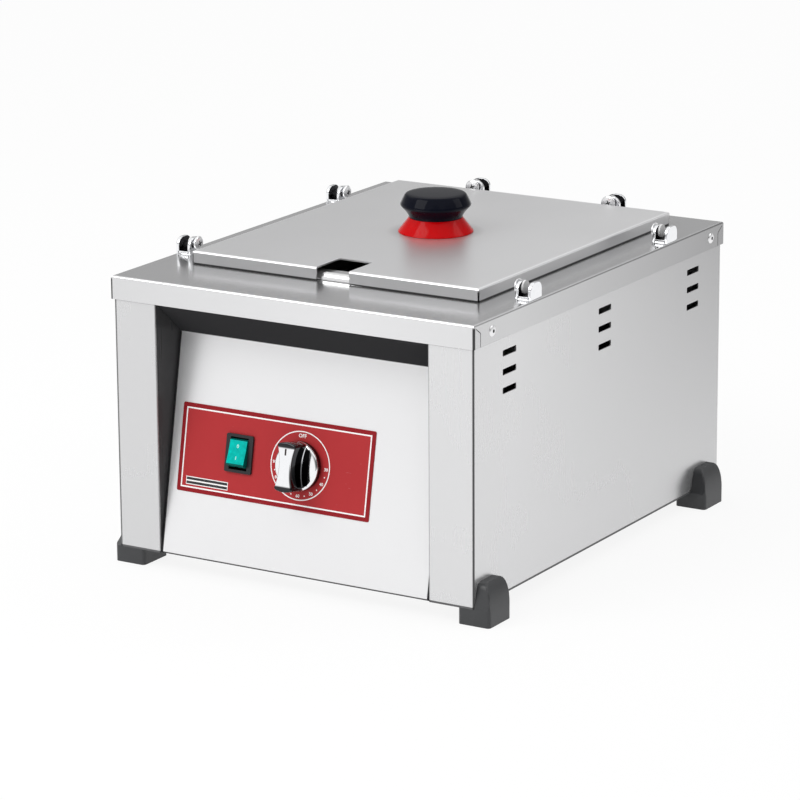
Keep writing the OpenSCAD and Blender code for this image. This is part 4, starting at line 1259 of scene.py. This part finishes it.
@dataclass
class ThermostatKnob:
    """The polished knob: a round base with a grip bar across it."""

    layout: Layout
    across: float = -0.0015
    up: float = 0.0928
    out: float = 0.001
    radius: float = 0.021
    base_height: float = 0.007
    height: float = 0.024
    edge: float = 0.0024
    waist: float = 0.0116
    scoop: float = 0.054
    rounding: float = 0.0030
    paint: float = 0.00004
    band: Flat = (0.0128, 0.0150)
    fine: float = 0.0002
    soft: float = 0.0003
    pointer: tuple[float, float, float] = (0.0016, 0.0055, 0.0004)

    def places(self, maker: NodeMaker, place: Socket) -> tuple[Term, Term, Term]:
        """Distances from the knob's axis across and along the grip, and out of the panel.

        Args:
            maker: The shader's tree.
            place: The shaded place.

        Returns:
            The three distances.
        """
        origin = self.layout.panel(self.across, self.up, self.out).translation
        axes = (Vector((1.0, 0.0, 0.0)), self.layout.up, self.layout.normal)
        return tuple(maker.along(place, tuple(axis)) - axis.dot(origin) for axis in axes)

    def dark_bands(self, maker: NodeMaker, place: Socket) -> Term:
        """Painted dark reflections on the grip's flanks and ends, beside it, and on the base's rim.

        Args:
            maker: The shader's tree.
            place: The shaded place.

        Returns:
            The share of the dark colour.
        """
        across, along, out = self.places(maker, place)
        across, reach = across.size(), along.size()
        side = across - along * along * (0.5 / self.scoop)
        base, fine, soft = self.base_height, self.fine, self.soft
        flank = side.above(self.waist / 2 - 0.0007, fine) * out.above(base + 0.0006, fine)
        flank = flank * out.below(self.height - 0.0006, soft)
        ends = reach.above(self.radius - 0.0050, 0.0006) * out.above(base + 0.0006, soft)
        beside = side.above(self.waist / 2 + 0.0006, fine) * across.below(self.band[0], soft)
        beside = beside * reach.below(self.band[1], 0.0004)
        beside = beside * out.above(base - 0.0004, fine) * out.below(base + 0.0003, fine)
        rim = out.below(base - 0.0016, 0.0004)
        return (flank + ends + beside + rim).capped() * 0.97

    def grip(self) -> list[Flat]:
        """Outline of the grip bar: round ends and hollow sides.

        Returns:
            The outline, across the grip and along it.
        """
        reach = self.radius - 0.0002
        middle = self.waist / 2 + self.scoop

        def hollow(y: float) -> float:
            """Half the bar's width at a place along it."""
            return middle - math.sqrt(self.scoop ** 2 - y ** 2)

        meet = next(y for y in (i * 0.00005 for i in range(600)) if hollow(y) ** 2 + y ** 2 >= reach ** 2)
        side = [(hollow(meet * share), meet * share) for share in (-1 + i / 8 for i in range(17))]
        angle = math.atan2(side[-1][1], side[-1][0])
        turns = (angle + (math.pi - 2 * angle) * i / 12 for i in range(1, 12))
        half = side + [(reach * math.cos(a), reach * math.sin(a)) for a in turns]
        return half + [(-x, -y) for x, y in half]

    def make(self) -> None:
        """Make the knob, its grip and its pointer."""
        place = self.layout.panel(self.across, self.up, self.out)
        r, e, h = self.radius, self.edge, self.base_height
        rim = [(r - e + e * math.sin(a), h - e + e * math.cos(a)) for a in reversed(quarter(8))]
        profile = [(0.0, 0.0), (r - e / 2, 0.0), (r, e / 2), *rim, (0.0, h)]
        base = Cabinetmaker.turned(profile, 128, place)
        Cabinetmaker.smooth(base)
        bar = Cabinetmaker.raised(self.grip(), h - e, self.height, place)
        bar = Cabinetmaker.soften(bar, self.rounding, 6, 40.0)
        # The chrome carries painted dark reflections.
        chrome = Polished("knob_chrome", tone(248, 249, 251), 0.06, shade=self.dark_bands).build()
        knob = Cabinetmaker.piece("thermostat_grip", Cabinetmaker.joined([base, bar]), chrome)
        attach(knob, "thermostat_spindle")
        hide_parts("thermostat_knob")
        width, length, proud = self.pointer
        start = r - 2.3 * e - length
        outline = rectangle(-width / 2, start, width / 2, start + length)
        mark = Cabinetmaker.raised(outline, self.height - proud, self.height + self.paint, place)
        dark = Moulded("pointer_paint", tone(40, 20, 22), 0.4).build()
        pointer = Cabinetmaker.piece("knob_pointer", mark, dark)
        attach(pointer, "thermostat_spindle")
        LOG.info("thermostat knob")


@dataclass
class LidKnob:
    """The lid's knob: a red foot under a black cap."""

    layout: Layout
    foot: tuple[Flat, ...] = ((0.0, 0.0), (0.0322, 0.0), (0.0326, 0.0005), (0.0324, 0.0010),
                              (0.0236, 0.0121), (0.0232, 0.0126), (0.0, 0.0126))
    cap_radius: float = 0.0305
    cap_height: float = 0.0214
    cap: tuple[Flat, ...] = ((0.751, 0.0), (0.79, 0.13), (0.87, 0.29), (0.968, 0.44), (1.0, 0.52),
                             (0.995, 0.58), (0.977, 0.64), (0.945, 0.74), (0.905, 0.85), (0.862, 0.94),
                             (0.78, 0.982), (0.5, 0.995), (0.0, 1.0))

    def curve(self) -> list[Flat]:
        """The cap's side view as a smooth line through its shares.

        Returns:
            The profile, as (radius, height).
        """
        points = [(x * self.cap_radius, z * self.cap_height) for x, z in self.cap]
        smooth = [(0.0, 0.0), points[0]]
        for i in range(len(points) - 1):
            a, b = points[i], points[i + 1]
            before, after = points[max(i - 1, 0)], points[min(i + 2, len(points) - 1)]
            for t in (0.25, 0.5, 0.75, 1.0):
                smooth.append(tuple(
                    0.5 * (2 * a[k] + (b[k] - before[k]) * t
                           + (2 * before[k] - 5 * a[k] + 4 * b[k] - after[k]) * t * t
                           + (3 * a[k] - before[k] - 3 * b[k] + after[k]) * t ** 3) for k in (0, 1)))
        smooth[-1] = (0.0, self.cap_height)
        return smooth

    def make(self) -> None:
        """Make the foot and the cap."""
        middle = self.layout.lid_middle
        place = Matrix.Translation((middle.x, middle.y, self.layout.lid_top))
        foot_mesh = Cabinetmaker.turned(self.foot, 128, place)
        Cabinetmaker.smooth(foot_mesh, 50.0)
        red = Moulded("red_gloss", tone(196, 4, 10), 0.08, gleam=0.09, drift=0.04,
                      skin_depth=0.00001).build()
        foot = Cabinetmaker.piece("knob_foot", foot_mesh, red)
        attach(foot, "lid")
        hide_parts("lid_knob_base")
        raised = place @ Matrix.Translation((0.0, 0.0, self.foot[-1][1]))
        cap_mesh = Cabinetmaker.turned(self.curve(), 128, raised)
        Cabinetmaker.smooth(cap_mesh, 50.0)
        black = Moulded("black_gloss", tone(15, 17, 27), 0.05, gleam=0.06, drift=0.05,
                        skin_depth=0.000005).build()
        cap = Cabinetmaker.piece("knob_cap", cap_mesh, black)
        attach(cap, "lid")
        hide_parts("lid_knob_cap")
        LOG.info("lid knob")


@dataclass
class GlassClamps:
    """The six chrome clamps and their cross-head screws."""

    layout: Layout
    places: tuple[str, ...] = (
        "left_front", "left_rear", "right_front", "right_rear", "back_left", "back_right")
    depth: float = 0.0145
    width: float = 0.0186
    height: float = 0.0142
    jaw: float = 0.003
    corner: float = 0.007
    axis_height: float = 0.009
    travel: float = 0.0018
    head_radius: float = 0.0062
    head_height: float = 0.0022
    rounding: float = 0.0005
    base_rounding: float = 0.0003
    shank_radius: float = 0.002
    shank_length: float = 0.0066
    slot_reach: float = 0.0024
    slot_half: float = 0.0005
    slot_depth: float = 0.0008
    slot_proud: float = 0.00003
    slot_turn: float = 20.0

    def stand(self, name: str) -> Matrix:
        """Where a clamp stands: X from its outer face inwards, Z up.

        Args:
            name: The clamp's place.

        Returns:
            The clamp's own frame.
        """
        low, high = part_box("glass_clamp_" + name)
        side = name.split("_")[0]
        base = (low + high) / 2
        base.z = low.z
        turn = {"left": 0.0, "right": math.pi, "back": -math.pi / 2}[side]
        outer = {"left": Vector((low.x, base.y, low.z)), "right": Vector((high.x, base.y, low.z)),
                 "back": Vector((base.x, high.y, low.z))}[side]
        return Matrix.Translation(outer) @ Matrix.Rotation(turn, 4, "Z")

    def jaw_outline(self) -> list[Flat]:
        """Front view of a jaw, with round top corners.

        Returns:
            The outline, across and up.
        """
        half, top, r = self.width / 2, self.height, self.corner
        right = [(half - r + r * math.cos(a), top - r + r * math.sin(a)) for a in quarter(10)]
        left = [(-half + r - r * math.sin(a), top - r + r * math.cos(a)) for a in quarter(10)]
        return [(-half, 0.0), (half, 0.0), *right, *left]

    def clamp_mesh(self, stand: Matrix) -> Mesh:
        """The U of one clamp.

        Args:
            stand: The clamp's own frame.

        Returns:
            Its mesh with rounded edges.
        """
        inwards = (stand.to_3x3() @ Vector(ACROSS)).normalized()
        parts = []
        for start, facing in ((0.0, inwards), (self.depth - self.jaw, -inwards)):
            jaw = Cabinetmaker.raised(self.jaw_outline(), start, start + self.jaw, stand @ UPRIGHT)
            # The jaws' faces that face each other get the second finish, a painted shade.
            Cabinetmaker.mark_facing(jaw, facing)
            parts.append(Cabinetmaker.soften(jaw, self.rounding, 3, 40.0))
        half, edge = self.width / 2, self.jaw / 2
        outline = rectangle(edge, -half, self.depth - edge, half)
        base = Cabinetmaker.raised(outline, 0.0, self.jaw, stand)
        # The base's top gets the painted shade too.
        Cabinetmaker.mark_facing(base, Vector(UPWARDS))
        parts.append(Cabinetmaker.soften(base, self.base_rounding, 2, 40.0))
        return Cabinetmaker.joined(parts)

    def head_place(self, stand: Matrix) -> Matrix:
        """Where a screw's head stands in a clamp's frame, with Z towards the middle of the cover."""
        start = Matrix.Translation((self.depth + self.travel, 0.0, self.axis_height))
        return stand @ start @ Matrix.Rotation(math.pi / 2, 4, "Y")

    def screw_mesh(self, stand: Matrix) -> Mesh:
        """One clamp screw.

        Args:
            stand: The clamp's own frame.

        Returns:
            The screw's mesh, head towards the middle of the cover.
        """
        r, h, thin, end = self.head_radius, self.head_height, self.shank_radius, -self.shank_length
        dome = [(r * math.cos(a), h * 0.35 + h * 0.65 * math.sin(a)) for a in quarter(8)[:-1]]
        place = self.head_place(stand)
        head = Cabinetmaker.turned([(0.0, 0.0), (r, 0.0), *dome, (0.0, h)], 48, place)
        shank = Cabinetmaker.turned([(0.0, end), (thin, end), (thin, 0.0), (0.0, 0.0)], 24, place)
        for mesh in (head, shank):
            Cabinetmaker.smooth(mesh)
        return Cabinetmaker.joined([head, shank])

    def cross_mesh(self, stand: Matrix) -> Mesh:
        """The crossed slot on a screw's head: a dark piece that paints the slot's shadow.

        Args:
            stand: The clamp's own frame.

        Returns:
            The slot's mesh.
        """
        a, b = self.slot_reach, self.slot_half
        outline = [(b, b), (b, a), (-b, a), (-b, b), (-a, b), (-a, -b), (-b, -b), (-b, -a), (b, -a),
                   (b, -b), (a, -b), (a, b)]
        place = self.head_place(stand) @ Matrix.Rotation(math.radians(self.slot_turn), 4, "Z")
        level = self.head_height
        return Cabinetmaker.raised(outline, level - self.slot_depth, level + self.slot_proud, place)

    def make(self) -> None:
        """Make all six clamps and screws."""
        chrome = Polished("clamp_chrome", tone(246, 247, 249), 0.09).build()
        # Dark chrome as painted shade inside the clamps.
        inside = Polished("clamp_inner_shade", tone(58, 58, 61), 0.16).build()
        bright = Polished("bolt_chrome", tone(252, 252, 253), 0.28).build()
        # Painted shadow for the screws' slots.
        slot_dark = Moulded("slot_shadow", tone(20, 20, 21), 0.6, gleam=0.1).build()
        for name in self.places:
            stand = self.stand(name)
            clamp = Cabinetmaker.piece("clamp_u_" + name, self.clamp_mesh(stand), chrome, inside)
            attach(clamp, "cabinet")
            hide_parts("glass_clamp_" + name)
            screw = Cabinetmaker.piece("clamp_bolt_" + name, self.screw_mesh(stand), bright)
            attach(screw, "clamp_" + name)
            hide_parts("clamp_screw_" + name)
            cross = Cabinetmaker.piece("clamp_cross_" + name, self.cross_mesh(stand), slot_dark)
            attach(cross, "clamp_" + name)
        LOG.info("%d glass clamps", len(self.places))


@dataclass
class BlindRivets:
    """The four rivets through the cover's side skirts, set by a node tree."""

    layout: Layout
    head_radius: float = 0.00475
    head_height: float = 0.0016
    hole_radius: float = 0.00125

    def head(self) -> Mesh:
        """One rivet head with the hole of its pulled pin.

        Returns:
            The mesh, standing on Z = 0.
        """
        r, h, hole = self.head_radius, self.head_height, self.hole_radius
        dome = [(r * math.cos(a), h * math.sin(a)) for a in quarter(10)[1:9]]
        well = [(hole * 1.4, h), (hole * 1.2, h * 0.9), (hole, h * 0.3), (0.0, h * 0.3)]
        mesh = Cabinetmaker.turned([(0.0, 0.0), (r, 0.0), *dome, *well], 32)
        Cabinetmaker.smooth(mesh)
        return mesh

    def mandrel(self) -> Mesh:
        """Painted shadow at the bottom of the hole in a rivet: a dark disc.

        Returns:
            The mesh, at its height over Z = 0.
        """
        level, reach = self.head_height * 0.86, self.hole_radius * 1.2
        low = level - 0.0002
        return Cabinetmaker.turned([(0.0, low), (reach, low), (reach, level), (0.0, level)], 24)

    def tree(self, material: Material) -> Tree:
        """Node tree that sets a shape along a row.

        Args:
            material: The shape's finish.

        Returns:
            The tree, with inputs for the spacing, the count and the shape.
        """
        tree, maker, given = Repeats.start("rivet_row", {
            "Spacing": "Vector", "Count": "Int", "Rivet": "Object"})
        line = maker.add("GeometryNodeMeshLine", {}, {
            "Count": given.outputs["Count"], "Offset": given.outputs["Spacing"]})
        rivet = maker.add("GeometryNodeObjectInfo", {}, {"Object": given.outputs["Rivet"]})
        Repeats.end(maker, line.outputs[0], rivet.outputs["Geometry"], material)
        return tree

    def rows(self, shape: Mesh, material: Material) -> Mesh:
        """Both rows of a shape, on the left and the right skirt.

        Args:
            shape: One rivet, standing on Z = 0.
            material: Its finish.

        Returns:
            The mesh, in place.
        """
        low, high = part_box("cover_rivets")
        front, rear = low.y + self.head_radius, high.y - self.head_radius
        level = (low.z + high.z) / 2
        sample = linked("rivet_sample", shape)
        tree = self.tree(material)
        made = []
        for side in (-1, 1):
            mesh = Repeats.run(tree, {"Spacing": (0.0, rear - front, 0.0), "Count": 2, "Rivet": sample})
            outer = self.layout.middle.x + side * self.layout.cover_half[0]
            turn = Matrix.Rotation(side * math.pi / 2, 4, "Y")
            mesh.transform(Matrix.Translation((outer, front, level)) @ turn)
            made.append(mesh)
        bpy.data.objects.remove(sample)
        return Cabinetmaker.joined(made)

    def make(self) -> None:
        """Set the rivets where the CAD rivets are."""
        steel = Polished("rivet_metal", tone(246, 246, 247), 0.3).build()
        rivets = Cabinetmaker.piece("rivet_heads", self.rows(self.head(), steel), steel)
        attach(rivets, "cabinet")
        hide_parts("cover_rivets")
        # Painted shadow in the rivets' holes.
        dark = Moulded("rivet_hole_shadow", tone(30, 30, 31), 0.6, gleam=0.1).build()
        holes = Cabinetmaker.piece("rivet_holes", self.rows(self.mandrel(), dark), dark)
        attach(holes, "cabinet")
        LOG.info("rivets")


@dataclass
class Feet:
    """The four corner feet, whose lugs have an elliptical outer side."""

    layout: Layout
    drop: float = 0.014
    kick: float = 0.008
    cut: float = 64.0
    lean: float = 0.005
    front_round: float = 0.006
    rear_round: float = 0.004
    plan_round: float = 0.003
    stations: tuple[float, ...] = (0.0, 0.0001, 0.0004, 0.0009, 0.0015, 0.0022, 0.003, 0.004, 0.005,
                                   0.006, 0.0075, 0.009, 0.011, 0.017, 0.024)
    corners: tuple[str, ...] = ("front_left", "front_right", "rear_left", "rear_right")

    def make(self) -> None:
        """Make the feet."""
        plastic = Moulded("foot_grain", tone(55, 56, 58), 0.38, gleam=0.5, skin_scale=1500.0,
                          skin_depth=0.00006).build()
        for name in self.corners:
            foot = Cabinetmaker.piece("rubber_foot_" + name, self.foot_mesh(name), plastic)
            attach(foot, "cabinet")
            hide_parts("foot_" + name)
        LOG.info("feet")

    def crown(self, at: float, length: float, top: float) -> float:
        """Height of the lug at a place along the foot.

        Args:
            at: Distance behind the foot's front.
            length: The foot's length.
            top: The lug's full height.

        Returns:
            The height there.
        """
        start, slope_top = self.lean + self.front_round * 0.04, top - self.front_round * 0.75
        if at < start:
            return self.drop + (slope_top - self.drop) * at / start
        if at < self.lean + self.front_round:
            share = (at - start) / (self.lean + self.front_round - start)
            return slope_top + (top - slope_top) * math.sqrt(1 - (1 - share) ** 2)
        left = length - at
        if left < self.rear_round:
            return top - self.rear_round + math.sqrt(self.rear_round ** 2 - (self.rear_round - left) ** 2)
        return top

    def foot_mesh(self, name: str) -> Mesh:
        """One foot.

        Args:
            name: Which corner it stands at.

        Returns:
            Its mesh, in place.
        """
        low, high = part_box("foot_" + name)
        right = name.endswith("right")
        wall = self.layout.middle.x + (self.layout.side if right else -self.layout.side)
        outer, inner = (high.x, low.x) if right else (low.x, high.x)
        reach, under = abs(outer - wall), abs(inner - wall)
        top, length, r = high.z, high.y - low.y, self.plan_round
        rise = (top - self.kick) / math.sin(math.radians(self.cut))
        arc = [(reach * math.cos(a), self.kick + rise * math.sin(a))
               for a in (math.radians(self.cut) * i / 14 for i in range(15))]
        outline = [(-under, 0.0), (0.0, 0.0), (reach, 0.0), *arc, (0.0002, top), (0.0, self.drop),
                   (-under, self.drop)]
        stations = [*self.stations, *[length - at for at in reversed(self.stations[:9])]]
        mirror = Matrix.Diagonal((1.0 if right else -1.0, 1.0, 1.0, 1.0))
        place = Matrix.Translation((wall, low.y, 0.0)) @ mirror

        def build(work: Work) -> None:
            """Fill the foot's mesh, station by station.

            Args:
                work: The mesh.
            """
            rings = []
            for at in stations:
                near = min(at, length - at)
                inset = r - math.sqrt(r * r - (r - near) ** 2) if near < r else 0.0
                crown = self.crown(at, length, top)
                ring = [(min(max(x, inset - under), reach - inset), at, min(z, crown)) for x, z in outline]
                rings.append([work.verts.new(point) for point in ring])
            work.faces.new(rings[0])
            work.faces.new(rings[-1])
            for a, b in zip(rings, rings[1:]):
                for k in range(len(outline)):
                    after = (k + 1) % len(outline)
                    work.faces.new([a[k], a[after], b[after], b[k]])

        mesh = Cabinetmaker.mesh_of(build, place)
        work = bmesh.new()
        work.from_mesh(mesh)
        bmesh.ops.dissolve_degenerate(work, dist=1e-6, edges=work.edges)
        bmesh.ops.recalc_face_normals(work, faces=work.faces)
        work.to_mesh(mesh)
        work.free()
        Cabinetmaker.smooth(mesh, 40.0)
        return mesh


@dataclass
class Studio:
    """Floor, surroundings and lamps."""

    layout: Layout
    floor_half: float = 6.0
    dark_ways: tuple[tuple[Point, float], ...] = (((0.50, -0.82, 0.27), 0.8), ((0.93, -0.30, 0.20), 0.75))
    dark_edge: float = 0.93
    dark_soft: float = 0.03
    floor_glow: float = 0.88

    def surroundings(self) -> None:
        """Bright surroundings with a grey band, and dark behind the camera and to its right."""
        world = bpy.data.worlds.new("studio")
        bpy.context.scene.world = world
        world.use_nodes = True
        maker = NodeMaker(world.node_tree)
        direction = maker.add("ShaderNodeTexCoord", {}).outputs["Generated"]
        rise = maker.along(direction, UPWARDS)
        depth = maker.along(direction, INWARDS)
        band = rise.above(0.13, 0.05) * rise.below(0.5, 0.1)
        behind = depth.above(0.1, 0.3)
        grey = band * (0.46 + behind * 0.16)
        low_back = behind * rise.above(0.0, 0.05) * rise.below(0.13, 0.05) * 0.45
        light = (1.0 - grey) * (1.0 - low_back)
        for way, share in self.dark_ways:
            dark = maker.along(direction, way).above(self.dark_edge, self.dark_soft) * share
            light = light * (1.0 - dark)
        camera_ray = Term(maker, maker.add("ShaderNodeLightPath", {}).outputs["Is Camera Ray"])
        strength = camera_ray + (1.0 - camera_ray) * light
        white = maker.add("ShaderNodeBackground", {}, {"Color": (1, 1, 1, 1), "Strength": strength})
        out = maker.add("ShaderNodeOutputWorld", {})
        maker.tree.links.new(white.outputs[0], out.inputs["Surface"])

    def floor(self) -> None:
        """A plain white floor that keeps a faint shadow."""
        half = self.floor_half
        work = bmesh.new()
        work.faces.new([work.verts.new((x, y, 0)) for x, y in rectangle(-half, -half, half, half)])
        mesh = bpy.data.meshes.new("floor")
        work.to_mesh(mesh)
        work.free()
        material = bpy.data.materials.new("floor_white")
        material.use_nodes = True
        maker = NodeMaker(material.node_tree)
        diffuse = maker.add("ShaderNodeBsdfDiffuse", {}, {"Color": (0.9, 0.9, 0.9, 1)})
        glow = maker.add("ShaderNodeEmission", {}, {"Color": (1, 1, 1, 1), "Strength": 1.0})
        rays = maker.add("ShaderNodeLightPath", {}).outputs
        seen = Term(maker, rays["Is Camera Ray"]).apply("MAXIMUM", Term(maker, rays["Is Glossy Ray"]))
        mixed = maker.add("ShaderNodeMixShader", {}, [
            seen * self.floor_glow, diffuse.outputs[0], glow.outputs[0]])
        out = maker.add("ShaderNodeOutputMaterial", {})
        maker.tree.links.new(mixed.outputs[0], out.inputs["Surface"])
        mesh.materials.append(material)
        ground = linked("floor", mesh)

    def lamp(self, name: str, place: Point, aim: Point, size: float, power: float) -> None:
        """Add one soft lamp.

        Args:
            name: The lamp's name.
            place: Where it hangs.
            aim: The point that it faces.
            size: Side of its square.
            power: Watts.
        """
        data = bpy.data.lights.new(name, "AREA")
        data.size = size
        data.energy = power
        lamp = linked(name, data)
        lamp.location = place
        lamp.rotation_euler = (Vector(aim) - Vector(place)).to_track_quat("-Z", "Y").to_euler()

    def make(self) -> None:
        """Make the whole studio."""
        self.surroundings()
        self.floor()
        self.lamp("key_softbox", (-0.9, -1.6, 1.7), (0.0, 0.0, 0.15), 1.4, 22.0)
        self.lamp("rim_softbox", (1.6, 0.9, 1.4), (0.0, 0.0, 0.2), 0.9, 4.0)
        view = bpy.context.scene.view_settings
        view.view_transform = "Standard"
        LOG.info("studio")


@dataclass
class PhotoCamera:
    """The camera at the photograph's viewing angle, set from the cover's front left top corner."""

    layout: Layout
    yaw: float = 31.333
    pitch: float = 15.160
    roll: float = -0.363
    distance: float = 3.3307
    focal_pixels: float = 3853.3
    picture_pixels: float = 800.0
    sensor: float = 36.0
    aim: Point = (0.175, 0.215, -0.110)
    slide: Flat = (-0.02071, -0.02361)

    def make(self) -> None:
        """Create the camera and make it the scene's own."""
        yaw, pitch, roll = (math.radians(a) for a in (self.yaw, self.pitch, self.roll))
        flat = math.cos(pitch)
        back = Vector((math.sin(yaw) * flat, -math.cos(yaw) * flat, math.sin(pitch)))
        level = Vector((math.cos(yaw), math.sin(yaw), 0.0))
        rise = back.cross(level)
        right = level * math.cos(roll) + rise * math.sin(roll)
        up = rise * math.cos(roll) - level * math.sin(roll)
        half = self.layout.cover_half
        middle = self.layout.middle
        corner = Vector((middle.x - half[0], middle.y - half[1], self.layout.top))
        place = corner + Vector(self.aim) + back * self.distance
        place = place + right * self.slide[0] + up * self.slide[1]
        data = bpy.data.cameras.new("photo_camera")
        data.sensor_width = self.sensor
        data.lens = self.focal_pixels / self.picture_pixels * self.sensor
        data.clip_end = 50.0
        camera = linked("photo_camera", data)
        camera.matrix_world = Matrix.Translation(place) @ Matrix((right, up, back)).transposed().to_4x4()
        bpy.context.scene.camera = camera


def main() -> None:
    """Build the camera, the pieces and the studio in order."""
    logging.basicConfig(level=logging.INFO, format="%(name)s: %(message)s")
    layout = Layout()
    PhotoCamera(layout).make()
    Cabinet(layout).dress()
    ControlPlate(layout).make()
    RockerSwitch(layout).make()
    ThermostatKnob(layout).make()
    LidKnob(layout).make()
    GlassClamps(layout).make()
    BlindRivets(layout).make()
    Feet(layout).make()
    Studio(layout).make()


if __name__ == "__main__":
    main()
